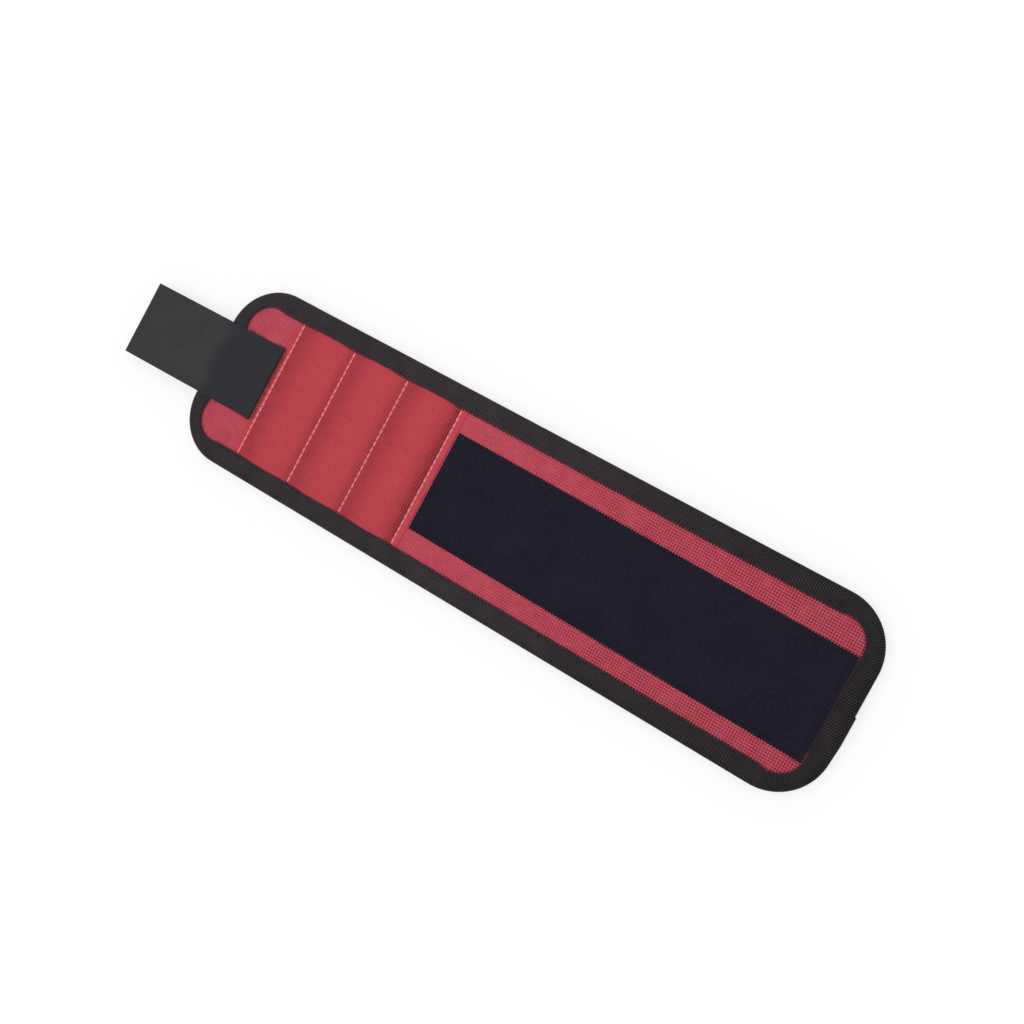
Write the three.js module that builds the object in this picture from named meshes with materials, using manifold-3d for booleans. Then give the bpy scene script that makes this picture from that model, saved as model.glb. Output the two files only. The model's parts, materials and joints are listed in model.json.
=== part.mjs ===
// Magnetic wristband lying flat with its face up: a padded cloth band with three sewn magnet pockets,
// a tail covered by a loop patch, and a hook strap that closes on it.
// Millimetres, +Z up, +X from the strap end to the tail. The origin is under the middle of the whole length.
import * as THREE from "three";
import { mergeVertices } from "three/addons/utils/BufferGeometryUtils.js";
import Module from "manifold-3d";

// Band outline
const BAND_LENGTH = 350;
const BAND_WIDTH = 90;
const STRAP_END_RADIUS = 25.5;
const TAIL_END_RADIUS = 25;
const INNER_CORNER_LEAST = 0.5; // radius that a drawn-in corner keeps

// Seams and fold lines along the band
const STRAP_END_LENGTH = 37.5; // from the band's edge to the first pocket seam
const POCKET_COUNT = 3;
const POCKET_PITCH = 31.5;
const TAIL_COUNT = 4; // stretches of the tail between fold lines
const FOLD_GAP = 0.4; // slit between neighbouring stretches of one ply

// Plies, from the wrist outwards
const LINING_THICKNESS = 0.8;
const PADDING_THICKNESS = 2;
const FACE_THICKNESS = 0.6;
const PLY_GAP = 0.1;

// Binding tape folded round the edge
const BINDING_THICKNESS = 0.6;
const BINDING_COVER = 9.5; // how far it reaches in over the face and under the lining
const BINDING_CLEARANCE = 0.3; // from its raw edges and its fold to what lies beside them

// Magnets in the pockets. Their length across the band is what the room between the bindings leaves.
const MAGNET_COUNT = 3; // in each pocket
const MAGNET_WIDTH = 18; // along the band
const MAGNET_THICKNESS = 2.5;
const MAGNET_CORNER = 1.5;
const MAGNET_SPACING = 3; // between neighbours in one pocket
const MAGNET_END_MARGIN = 5.2; // from the last magnet to the pocket's edge at the binding
const MAGNET_CLEARANCE = 0.3; // to the walls of its cut-out in the padding
const MAGNET_COVER_CLEARANCE = 0.4; // to the pocket cloth above it

// Pocket cloth and its seams
const SEAM_RADIUS = 0.5;
const SEAM_MARGIN = 0.2; // flat cloth on each side of a seam, before the crown starts
const CROWN_FULLNESS = 6; // power of the fall towards the binding: higher keeps the crown full for longer

// Loop patch
const PATCH_WIDTH = 50;
const PATCH_THICKNESS = 1.4;
const PATCH_SETBACK = 4.3; // from the last pocket seam to the patch

// Closure strap
const STRAP_WIDTH = 38;
const STRAP_THICKNESS = 1;
const STRAP_REACH = 47; // beyond the band's edge
const STRAP_SEAM_MARGIN = 3.5; // from its sewn end to the first pocket seam
const STRAP_STEP = 2; // length of the step down from the binding to the face
const STRAP_STEP_CLEARANCE = 1; // from the binding's raw edge to that step
const STRAP_FOLD_GAP = 0.7; // from the strap's fold line to the strap on each side of it
const HOOK_THICKNESS = 1.1;
const HOOK_SETBACK = 4; // from the band's edge to the hook pad
const HOOK_TIP_MARGIN = 1; // bare strap beyond the hook pad

// Fineness of the round stretches
const ARC_STEPS = 10;
const MAGNET_CORNER_STEPS = 3;
const CROWN_STEPS_ALONG = 10;
const CROWN_STEPS_ACROSS = 12;

// Heights
const LINING_LOW = BINDING_THICKNESS + PLY_GAP;
const LINING_TOP = LINING_LOW + LINING_THICKNESS;
const PADDING_LOW = LINING_TOP + PLY_GAP;
const PADDING_TOP = PADDING_LOW + PADDING_THICKNESS;
const FACE_LOW = PADDING_TOP + PLY_GAP;
const FACE_TOP = FACE_LOW + FACE_THICKNESS;
const BINDING_TOP = FACE_TOP + PLY_GAP + BINDING_THICKNESS;
const ON_FACE = FACE_TOP + PLY_GAP;
const STRAP_LOW = BINDING_TOP + PLY_GAP;

// Places along and across the band
const BAND_LEFT = (STRAP_REACH - BAND_LENGTH) / 2;
const BAND_RIGHT = BAND_LEFT + BAND_LENGTH;
const PLY_INSET = BINDING_THICKNESS + BINDING_CLEARANCE;
const WINDOW_INSET = BINDING_COVER + BINDING_CLEARANCE;
const PLY_HALF = BAND_WIDTH / 2 - PLY_INSET;
const WINDOW_HALF = BAND_WIDTH / 2 - WINDOW_INSET;
const FIRST_SEAM = BAND_LEFT + STRAP_END_LENGTH;
const LAST_SEAM = FIRST_SEAM + POCKET_COUNT * POCKET_PITCH;
const TAIL_PITCH = (BAND_RIGHT - LAST_SEAM) / TAIL_COUNT;
const POCKET_HEM = 2 * (SEAM_RADIUS + SEAM_MARGIN);
const MAGNET_PITCH = (2 * (WINDOW_HALF - MAGNET_END_MARGIN) + MAGNET_SPACING) / MAGNET_COUNT;
const MAGNET_LENGTH = MAGNET_PITCH - MAGNET_SPACING;

const RED_CLOTH = { color: 0xb5414b, roughness: 0.85, metalness: 0 };
const BLACK_TAPE = { color: 0x2b2b2e, roughness: 0.8, metalness: 0 };
const CHARCOAL_STRAP = { color: 0x3c3c3e, roughness: 0.75, metalness: 0 };
const HOOK_FIELD = { color: 0x2f2f31, roughness: 0.5, metalness: 0 };
const LOOP_PILE = { color: 0x20202a, roughness: 0.95, metalness: 0 };
const PALE_THREAD = { color: 0xe08a8c, roughness: 0.6, metalness: 0 };
const BLACK_LINING = { color: 0x26262a, roughness: 0.9, metalness: 0 };
const GREY_FOAM = { color: 0x6a6a6c, roughness: 0.95, metalness: 0 };
const PLATED_STEEL = { color: 0xb4b4b0, roughness: 0.3, metalness: 1 };

const wasm = await Module();
wasm.setup();

// A closed geometry as a solid that can be joined and cut.
function solidOf(geometry) {
  const bare = geometry.clone();
  bare.deleteAttribute("normal");
  bare.deleteAttribute("uv");
  const merged = mergeVertices(bare);
  const triVerts = new Uint32Array(merged.index.array);
  const vertProperties = merged.attributes.position.array;
  return new wasm.Manifold(new wasm.Mesh({ numProp: 3, vertProperties, triVerts }));
}

// A solid as a flat-shaded geometry.
function geometryOf(solid) {
  const { vertProperties, triVerts } = solid.getMesh();
  const indexed = new THREE.BufferGeometry();
  indexed.setAttribute("position", new THREE.BufferAttribute(vertProperties, 3));
  indexed.setIndex(new THREE.BufferAttribute(triVerts, 1));
  const flat = indexed.toNonIndexed();
  flat.computeVertexNormals();
  return flat;
}

// The band's outline drawn in by inset, as a rectangle with round corners.
function bandOutline(inset) {
  const left = BAND_LEFT + inset;
  const right = BAND_RIGHT - inset;
  const half = BAND_WIDTH / 2 - inset;
  const near = Math.max(STRAP_END_RADIUS - inset, INNER_CORNER_LEAST);
  const far = Math.max(TAIL_END_RADIUS - inset, INNER_CORNER_LEAST);
  const outline = new THREE.Shape();
  outline.moveTo(left + near, -half);
  outline.lineTo(right - far, -half);
  outline.absarc(right - far, far - half, far, -Math.PI / 2, 0);
  outline.lineTo(right, half - far);
  outline.absarc(right - far, half - far, far, 0, Math.PI / 2);
  outline.lineTo(left + near, half);
  outline.absarc(left + near, half - near, near, Math.PI / 2, Math.PI);
  outline.lineTo(left, near - half);
  outline.absarc(left + near, near - half, near, Math.PI, 1.5 * Math.PI);
  return outline;
}

// An outline carried straight up from its own plane.
function extruded(outline, depth, curveSegments = ARC_STEPS) {
  return new THREE.ExtrudeGeometry(outline, { depth, curveSegments, bevelEnabled: false });
}

// An outline in the band's plane as a plate between two heights.
function plate(outline, low, high) {
  return extruded(outline, high - low).translate(0, 0, low);
}

// A profile drawn along the band (x) and up (y), carried across the band and centred on its middle.
function acrossBand(profile, width) {
  return extruded(profile, width).rotateX(Math.PI / 2).translate(0, width / 2, 0);
}

// A rectangular block between two corners.
function block(low, high) {
  const geometry = new THREE.BoxGeometry(high.x - low.x, high.y - low.y, high.z - low.z);
  return geometry.translate((low.x + high.x) / 2, (low.y + high.y) / 2, (low.z + high.z) / 2);
}

// The stretches of the band between fold lines. The end ones reach past the band's edge, so a cut keeps it.
function bandStretches() {
  const folds = [];
  for (let i = 0; i <= POCKET_COUNT; i++) folds.push(FIRST_SEAM + i * POCKET_PITCH);
  for (let i = 1; i < TAIL_COUNT; i++) folds.push(LAST_SEAM + i * TAIL_PITCH);
  const names = ["strap_end"];
  for (let i = 1; i <= POCKET_COUNT; i++) names.push(`pocket_${i}`);
  for (let i = 1; i <= TAIL_COUNT; i++) names.push(`tail_${i}`);
  return names.map((name, i) => ({
    name,
    left: i === 0 ? BAND_LEFT - BAND_WIDTH : folds[i - 1] + FOLD_GAP / 2,
    right: i === folds.length ? BAND_RIGHT + BAND_WIDTH : folds[i] - FOLD_GAP / 2,
    atEnd: i === 0 || i === folds.length,
  }));
}

// The part of a solid that lies in one stretch: whole, or only its front (-1) or rear (+1) half.
function cutToStretch(solid, stretch, side = 0) {
  const low = new THREE.Vector3(stretch.left, side > 0 ? 0 : -BAND_WIDTH, -BAND_WIDTH);
  const high = new THREE.Vector3(stretch.right, side < 0 ? 0 : BAND_WIDTH, BAND_WIDTH);
  return solid.intersect(solidOf(block(low, high)));
}

// One flat ply over the whole band.
function wholePly(inset, low, high) {
  return solidOf(plate(bandOutline(inset), low, high));
}

// The lining: its edge lies in the binding, and its middle stands out flush with the binding's underside.
function wholeLining() {
  const tucked = wholePly(PLY_INSET, LINING_LOW, LINING_TOP);
  return tucked.add(wholePly(WINDOW_INSET, 0, LINING_TOP));
}

// The binding tape: a channel round the edge, open inwards.
function wholeBinding() {
  const outside = wholePly(0, 0, BINDING_TOP);
  const channel = wholePly(BINDING_THICKNESS, BINDING_THICKNESS, BINDING_TOP - BINDING_THICKNESS);
  const window = wholePly(BINDING_COVER, -BINDING_TOP, 2 * BINDING_TOP);
  return outside.subtract(channel).subtract(window);
}

// The loop patch, trimmed to the tail binding's raw edge.
function wholePatch() {
  const low = new THREE.Vector3(LAST_SEAM + PATCH_SETBACK, -PATCH_WIDTH / 2, ON_FACE);
  const high = new THREE.Vector3(BAND_RIGHT, PATCH_WIDTH / 2, ON_FACE + PATCH_THICKNESS);
  return solidOf(block(low, high)).intersect(wholePly(WINDOW_INSET, 0, 2 * BINDING_TOP));
}

// Places of one pocket's magnets across the band.
function magnetRows() {
  return Array.from({ length: MAGNET_COUNT }, (_, i) => (i - (MAGNET_COUNT - 1) / 2) * MAGNET_PITCH);
}

// One magnet: a flat block with round corners, standing on the lining.
function magnet(x, y) {
  const right = MAGNET_WIDTH / 2 - MAGNET_CORNER;
  const back = MAGNET_LENGTH / 2 - MAGNET_CORNER;
  const outline = new THREE.Shape();
  outline.absarc(x + right, y + back, MAGNET_CORNER, 0, Math.PI / 2);
  outline.absarc(x - right, y + back, MAGNET_CORNER, Math.PI / 2, Math.PI);
  outline.absarc(x - right, y - back, MAGNET_CORNER, Math.PI, 1.5 * Math.PI);
  outline.absarc(x + right, y - back, MAGNET_CORNER, 1.5 * Math.PI, 2 * Math.PI);
  return extruded(outline, MAGNET_THICKNESS, MAGNET_CORNER_STEPS).translate(0, 0, PADDING_LOW);
}

// The cut-out in the padding round one magnet.
function magnetCutout(x, y) {
  const along = MAGNET_WIDTH / 2 + MAGNET_CLEARANCE;
  const across = MAGNET_LENGTH / 2 + MAGNET_CLEARANCE;
  const low = new THREE.Vector3(x - along, y - across, PADDING_LOW - PADDING_THICKNESS);
  const high = new THREE.Vector3(x + along, y + across, PADDING_TOP + PADDING_THICKNESS);
  return solidOf(block(low, high));
}

// Places of the grid lines of a crowned panel: an edge strip each side and even steps between them.
function gridLines(outer, inner, steps) {
  const inside = Array.from({ length: steps + 1 }, (_, i) => inner * ((2 * i) / steps - 1));
  return [-outer, ...inside, outer];
}

// The cloth of one pocket: flat at its seams and under the binding, crowned over its magnets.
function pocketCloth(stretch) {
  const middle = (stretch.left + stretch.right) / 2;
  const half = (stretch.right - stretch.left) / 2;
  const crownHalf = half - POCKET_HEM;
  const along = gridLines(half, crownHalf, CROWN_STEPS_ALONG);
  const across = gridLines(PLY_HALF, WINDOW_HALF, CROWN_STEPS_ACROSS);
  const fall = (x, y) => {
    const u = Math.min(1, Math.abs(x / crownHalf));
    const v = Math.min(1, Math.abs(y / WINDOW_HALF));
    return (1 - u ** 2) * (1 - v ** CROWN_FULLNESS);
  };
  const rows = magnetRows();
  const cornerFall = fall(MAGNET_WIDTH / 2, rows[rows.length - 1] + MAGNET_LENGTH / 2);
  const magnetTop = PADDING_LOW + MAGNET_THICKNESS;
  const rise = Math.max(0, magnetTop + MAGNET_COVER_CLEARANCE - FACE_LOW) / cornerFall;
  const panel = new THREE.BoxGeometry(1, 1, FACE_THICKNESS, along.length - 1, across.length - 1, 1);
  const place = panel.attributes.position;
  for (let i = 0; i < place.count; i++) {
    const x = along[Math.round((place.getX(i) + 0.5) * (along.length - 1))];
    const y = across[Math.round((place.getY(i) + 0.5) * (across.length - 1))];
    const z = place.getZ(i) + FACE_LOW + FACE_THICKNESS / 2 + rise * fall(x, y);
    place.setXYZ(i, middle + x, y, z);
  }
  return panel;
}

// One pocket seam: a half-round line of thread lying on the pocket's hem.
function pocketSeam(x) {
  const profile = new THREE.Shape();
  profile.absarc(x, ON_FACE, SEAM_RADIUS, 0, Math.PI);
  return acrossBand(profile, 2 * WINDOW_HALF);
}

// How far the binding's raw edge stands in from the band's strap end, at a distance across from the middle.
function bindingReach(across) {
  const inner = STRAP_END_RADIUS - BINDING_COVER;
  const past = Math.max(0, across - (BAND_WIDTH / 2 - STRAP_END_RADIUS));
  return STRAP_END_RADIUS - Math.sqrt(Math.max(0, inner ** 2 - past ** 2));
}

// The sewn length of the strap: it lies on the binding at the band's edge and steps down to the face.
function strapAnchor() {
  const edge = BAND_LEFT + STRAP_FOLD_GAP;
  const stepTop = BAND_LEFT + bindingReach(STRAP_WIDTH / 2) + STRAP_STEP_CLEARANCE;
  const stepFoot = stepTop + STRAP_STEP;
  const end = FIRST_SEAM - STRAP_SEAM_MARGIN;
  const profile = new THREE.Shape();
  profile.moveTo(edge, STRAP_LOW);
  profile.lineTo(stepTop, STRAP_LOW);
  profile.lineTo(stepFoot, ON_FACE);
  profile.lineTo(end, ON_FACE);
  profile.lineTo(end, ON_FACE + STRAP_THICKNESS);
  profile.lineTo(stepFoot, ON_FACE + STRAP_THICKNESS);
  profile.lineTo(stepTop, STRAP_LOW + STRAP_THICKNESS);
  profile.lineTo(edge, STRAP_LOW + STRAP_THICKNESS);
  return acrossBand(profile, STRAP_WIDTH);
}

// The free length of the strap, beyond the band's edge.
function strapFlap() {
  const low = new THREE.Vector3(BAND_LEFT - STRAP_REACH, -STRAP_WIDTH / 2, STRAP_LOW);
  const high = new THREE.Vector3(BAND_LEFT - STRAP_FOLD_GAP, STRAP_WIDTH / 2, STRAP_LOW + STRAP_THICKNESS);
  return block(low, high);
}

// The hook pad under the free length.
function hookPad() {
  const tip = BAND_LEFT - STRAP_REACH + HOOK_TIP_MARGIN;
  const top = STRAP_LOW - PLY_GAP;
  const low = new THREE.Vector3(tip, -STRAP_WIDTH / 2, top - HOOK_THICKNESS);
  const high = new THREE.Vector3(BAND_LEFT - HOOK_SETBACK, STRAP_WIDTH / 2, top);
  return block(low, high);
}

// One named piece with its own material.
function piece(name, geometry, finish) {
  const mesh = new THREE.Mesh(geometry, new THREE.MeshStandardMaterial(finish));
  mesh.name = name;
  return mesh;
}

const lining = wholeLining();
const padding = wholePly(PLY_INSET, PADDING_LOW, PADDING_TOP);
const face = wholePly(PLY_INSET, FACE_LOW, FACE_TOP);
const binding = wholeBinding();
const patch = wholePatch();

// The plies and the binding of one stretch, which every stretch has.
function stretchBase(stretch, foam) {
  const group = new THREE.Group();
  group.add(piece(`lining_${stretch.name}`, geometryOf(cutToStretch(lining, stretch)), BLACK_LINING));
  group.add(piece(`padding_${stretch.name}`, geometryOf(foam), GREY_FOAM));
  const sides = stretch.atEnd ? { binding: 0 } : { binding_front: -1, binding_rear: 1 };
  for (const [name, side] of Object.entries(sides)) {
    const tape = geometryOf(cutToStretch(binding, stretch, side));
    group.add(piece(`${name}_${stretch.name}`, tape, BLACK_TAPE));
  }
  return group;
}

// The end that carries the strap.
function strapEnd(stretch) {
  const group = stretchBase(stretch, cutToStretch(padding, stretch));
  group.add(piece("face_strap_end", geometryOf(cutToStretch(face, stretch)), RED_CLOTH));
  group.add(piece("strap_anchor", strapAnchor(), CHARCOAL_STRAP));
  return group;
}

// One magnet pocket. Each has the seam on its strap side, and the last one also the seam towards the tail.
function magnetPocket(stretch, number) {
  const middle = (stretch.left + stretch.right) / 2;
  const rows = magnetRows();
  const slab = cutToStretch(padding, stretch);
  const foam = rows.reduce((rest, y) => rest.subtract(magnetCutout(middle, y)), slab);
  const group = stretchBase(stretch, foam);
  group.add(piece(`magnet_pocket_${number}`, pocketCloth(stretch), RED_CLOTH));
  rows.forEach((y, i) => group.add(piece(`magnet_${number}_${i + 1}`, magnet(middle, y), PLATED_STEEL)));
  group.add(piece(`pocket_seam_${number}`, pocketSeam(stretch.left + POCKET_HEM / 2), PALE_THREAD));
  if (number === POCKET_COUNT) {
    group.add(piece(`pocket_seam_${number + 1}`, pocketSeam(stretch.right - POCKET_HEM / 2), PALE_THREAD));
  }
  return group;
}

// One stretch of the tail.
function tailStretch(stretch, number) {
  const group = stretchBase(stretch, cutToStretch(padding, stretch));
  group.add(piece(`face_${stretch.name}`, geometryOf(cutToStretch(face, stretch)), RED_CLOTH));
  group.add(piece(`loop_patch_${number}`, geometryOf(cutToStretch(patch, stretch)), LOOP_PILE));
  return group;
}

// The free strap with its hook pad.
function closureStrap() {
  const group = new THREE.Group();
  group.add(piece("strap_flap", strapFlap(), CHARCOAL_STRAP));
  group.add(piece("hook_pad", hookPad(), HOOK_FIELD));
  return group;
}

const wristband = new THREE.Group();
const [first, ...others] = bandStretches();
wristband.add(closureStrap());
wristband.add(strapEnd(first));
others.slice(0, POCKET_COUNT).forEach((stretch, i) => wristband.add(magnetPocket(stretch, i + 1)));
others.slice(POCKET_COUNT).forEach((stretch, i) => wristband.add(tailStretch(stretch, i + 1)));

export default wristband;
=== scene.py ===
"""Looks of a magnetic wristband: cloth, tape, pile, thread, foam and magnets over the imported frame."""
import json
import logging
import math
from dataclasses import dataclass, field
from enum import Enum
from functools import cached_property
from typing import Any, Callable, ClassVar, Optional, Union

import bmesh
import bpy
from mathutils import Matrix, Vector, noise

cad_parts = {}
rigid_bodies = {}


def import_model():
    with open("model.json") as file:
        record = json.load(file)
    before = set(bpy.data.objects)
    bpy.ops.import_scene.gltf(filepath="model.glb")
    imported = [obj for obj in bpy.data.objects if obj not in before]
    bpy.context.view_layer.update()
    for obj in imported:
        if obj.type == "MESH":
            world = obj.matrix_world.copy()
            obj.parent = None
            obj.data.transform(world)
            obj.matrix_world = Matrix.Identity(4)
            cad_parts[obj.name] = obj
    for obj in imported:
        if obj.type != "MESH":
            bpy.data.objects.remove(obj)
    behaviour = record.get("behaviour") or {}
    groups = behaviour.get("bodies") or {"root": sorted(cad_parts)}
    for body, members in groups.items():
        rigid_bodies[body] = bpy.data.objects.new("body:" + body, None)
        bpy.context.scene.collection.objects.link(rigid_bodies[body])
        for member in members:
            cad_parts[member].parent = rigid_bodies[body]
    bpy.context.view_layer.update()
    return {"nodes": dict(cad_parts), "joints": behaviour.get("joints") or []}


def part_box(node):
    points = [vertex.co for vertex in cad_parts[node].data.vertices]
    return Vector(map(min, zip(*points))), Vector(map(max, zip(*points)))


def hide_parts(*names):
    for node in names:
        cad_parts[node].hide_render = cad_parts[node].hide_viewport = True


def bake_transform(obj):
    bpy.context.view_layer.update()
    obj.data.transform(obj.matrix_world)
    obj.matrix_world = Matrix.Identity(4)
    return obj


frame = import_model()

LOG = logging.getLogger("wristband")
MM = 0.001
CLOTH_MAP = "cloth"
SHARP_ANGLE = math.radians(40)
RIM_ANGLE = math.radians(60)
CUT_GRAIN = 1e-7
MAGNET_NODES = [name for name in frame["nodes"] if name.startswith("magnet_") and "pocket" not in name]

Rgb = tuple[int, int, int]
Linear = tuple[float, float, float, float]
Pair = tuple[float, float]
Term = Union["Value", float]
Mesh = bmesh.types.BMesh
Material = bpy.types.Material
Piece = bpy.types.Object
Socket = bpy.types.NodeSocket
Carry = Callable[[Piece], None]
Spot = Callable[[float, float], Pair]
Place = Callable[[float, float], Vector]
Measure = Callable[[float, float], float]


# Numbers and small helpers


def linear(colour: Rgb) -> Linear:
    """A screen colour as the shaders need it.

    Args:
        colour: red, green and blue from 0 to 255, as a screen shows them.

    Returns:
        The same colour with linear levels and full cover.
    """
    shares = [level / 255 for level in colour]
    levels = [s / 12.92 if s <= 0.04045 else ((s + 0.055) / 1.055) ** 2.4 for s in shares]
    return (levels[0], levels[1], levels[2], 1.0)


def eased(low: float, high: float, at: float) -> float:
    """A smooth step.

    Args:
        low: where the step starts.
        high: where it ends.
        at: the place that is asked for.

    Returns:
        0 before low, 1 after high, and a smooth rise between them.
    """
    share = min(1.0, max(0.0, (at - low) / (high - low)))
    return share * share * (3 - 2 * share)


def heading(angle: float) -> Vector:
    """The flat direction of an angle in radians, with a length of 1."""
    return Vector((math.cos(angle), math.sin(angle)))


def waves(x: float, y: float, size: float, layer: int) -> float:
    """Smooth random waves of the given size, round 0, with a pattern of its own for each layer."""
    return noise.noise(Vector((x, y, layer)) / size)


# Shader maths


class Value:
    """A number that changes over a surface: a node's output with Python's operators."""

    def __init__(self, shading: "Shading", socket: Socket) -> None:
        """Keeps the node tree and the output."""
        self.shading = shading
        self.socket = socket

    def run(self, operation: str, *others: Term) -> "Value":
        """A Math operation with this value as its first number."""
        return self.shading.math(operation, self, *others)

    def __add__(self, other: Term) -> "Value":
        """Sum."""
        return self.run("ADD", other)

    def __sub__(self, other: Term) -> "Value":
        """Difference."""
        return self.run("SUBTRACT", other)

    def __rsub__(self, other: Term) -> "Value":
        """Difference, with this value taken away."""
        return self.shading.math("SUBTRACT", other, self)

    def __mul__(self, other: Term) -> "Value":
        """Product."""
        return self.run("MULTIPLY", other)

    def __truediv__(self, other: Term) -> "Value":
        """Quotient."""
        return self.run("DIVIDE", other)

    def __rtruediv__(self, other: Term) -> "Value":
        """Quotient, with this value below the line."""
        return self.shading.math("DIVIDE", other, self)

    __radd__ = __add__
    __rmul__ = __mul__

    def ridges(self) -> "Value":
        """Round ridges, one for each whole number: 0 between them and 1 on top."""
        return (self * math.pi).run("SINE").run("ABSOLUTE")

    def step(self, low: float, high: float) -> "Value":
        """A smooth step of this value, 0 before low and 1 after high."""
        inputs = {"Value": self, "From Min": low, "From Max": high}
        return self.shading.value(0, "ShaderNodeMapRange", {"interpolation_type": "SMOOTHSTEP"}, inputs)


class Shading:
    """One node tree and the ways to add to it."""

    def __init__(self, tree: bpy.types.NodeTree) -> None:
        """Starts with an empty tree."""
        self.tree = tree
        self.tree.nodes.clear()

    @classmethod
    def of_material(cls, name: str) -> tuple[Material, "Shading"]:
        """A new material and its tree.

        Args:
            name: the material's name.

        Returns:
            The material and the shading that fills it.
        """
        material = bpy.data.materials.new(name)
        material.use_nodes = True
        return material, cls(material.node_tree)

    def node(
        self,
        kind: str,
        settings: Optional[dict[str, Any]] = None,
        inputs: Optional[dict[Union[str, int], Any]] = None,
    ) -> bpy.types.Node:
        """Adds a node.

        Args:
            kind: the node's type.
            settings: its properties, which are set first.
            inputs: values or links of its sockets, by name or number.

        Returns:
            The new node.
        """
        made = self.tree.nodes.new(kind)
        for name, setting in (settings or {}).items():
            setattr(made, name, setting)
        for key, given in (inputs or {}).items():
            source = given.socket if isinstance(given, Value) else given
            if isinstance(source, Socket):
                self.tree.links.new(source, made.inputs[key])
            else:
                made.inputs[key].default_value = source
        return made

    def value(self, output: Union[str, int], kind: str, *details: Optional[dict[Any, Any]]) -> Value:
        """One output of a new node, which gets its settings and its inputs."""
        return Value(self, self.node(kind, *details).outputs[output])

    def math(self, operation: str, *terms: Term) -> Value:
        """The result of a new Math node on values or plain numbers."""
        return self.value(0, "ShaderNodeMath", {"operation": operation}, dict(enumerate(terms)))

    def split(self, vector: Socket) -> tuple[Value, Value, Value]:
        """The three numbers of a vector."""
        made = self.node("ShaderNodeSeparateXYZ", inputs={0: vector})
        return (Value(self, made.outputs[0]), Value(self, made.outputs[1]), Value(self, made.outputs[2]))

    def joined(self, x: Term, y: Term) -> Socket:
        """A flat vector from two numbers."""
        return self.node("ShaderNodeCombineXYZ", inputs={0: x, 1: y}).outputs[0]

    def cloth_place(self) -> Socket:
        """Where a point lies on the flat cut cloth, in metres."""
        return self.node("ShaderNodeUVMap", {"uv_map": CLOTH_MAP}).outputs["UV"]

    def body_place(self) -> Socket:
        """Where a point lies in the part's own frame, in metres."""
        return self.node("ShaderNodeTexCoord").outputs["Object"]

    def cloud(self, where: Socket, size: float, detail: float = 3.0) -> Value:
        """Smooth random blotches of a size in metres, round 0.5, with finer layers as detail."""
        inputs = {"Vector": where, "Scale": 1 / size, "Detail": detail, "Roughness": 0.55}
        return self.value(0, "ShaderNodeTexNoise", None, inputs)

    def pick(self, where: Socket) -> Value:
        """A random number from 0 to 1 for each whole place."""
        return self.value(0, "ShaderNodeTexWhiteNoise", {"noise_dimensions": "2D"}, {"Vector": where})

    def cells(self, where: Socket, size: float) -> Value:
        """Distance to the nearest of many scattered points, in cells of the given size."""
        return self.value("Distance", "ShaderNodeTexVoronoi", None, {"Vector": where, "Scale": 1 / size})

    def mix(self, share: Term, first: Any, second: Any) -> Socket:
        """A colour between two others, with the share of the second one."""
        settings = {"data_type": "RGBA", "clamp_factor": True}
        return self.node("ShaderNodeMix", settings, {0: share, 6: first, 7: second}).outputs[2]

    def surface(
        self,
        colour: Socket,
        roughness: Term,
        height: Value,
        depth: float,
        specular: float = 0.5,
        metallic: float = 0.0,
    ) -> None:
        """Ends a material with its surface.

        Args:
            colour: the output that gives its colour.
            roughness: a number or a value.
            height: the relief, from 0 to 1.
            depth: how deep the relief is, in metres.
            specular: how much it shines, 0.5 for a plain solid.
            metallic: 1 for metal.
        """
        relief = {"Strength": 1.0, "Distance": depth, "Height": height}
        inputs = {
            "Base Color": colour,
            "Roughness": roughness,
            "Normal": self.node("ShaderNodeBump", inputs=relief).outputs[0],
            "Specular IOR Level": specular,
            "Metallic": metallic,
        }
        shader = self.node("ShaderNodeBsdfPrincipled", inputs=inputs)
        self.node("ShaderNodeOutputMaterial", inputs={"Surface": shader.outputs[0]})


# Finishes


@dataclass(frozen=True)
class Finish:
    """A finish with its main colour and a second one for its gaps, grooves or dull places."""

    name: str
    colour: Rgb
    second: Rgb

    def draw(self, shading: Shading) -> None:
        """Fills the material's tree, which each finish does in its own way."""
        raise NotImplementedError

    def toned(self, shading: Shading, lit: Term) -> Socket:
        """The second colour where nothing is lit, and the main colour where all is."""
        return shading.mix(lit, linear(self.second), linear(self.colour))

    def material(self) -> Material:
        """Makes the material.

        Returns:
            The material with its finish.
        """
        material, shading = Shading.of_material(self.name)
        self.draw(shading)
        return material


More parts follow.
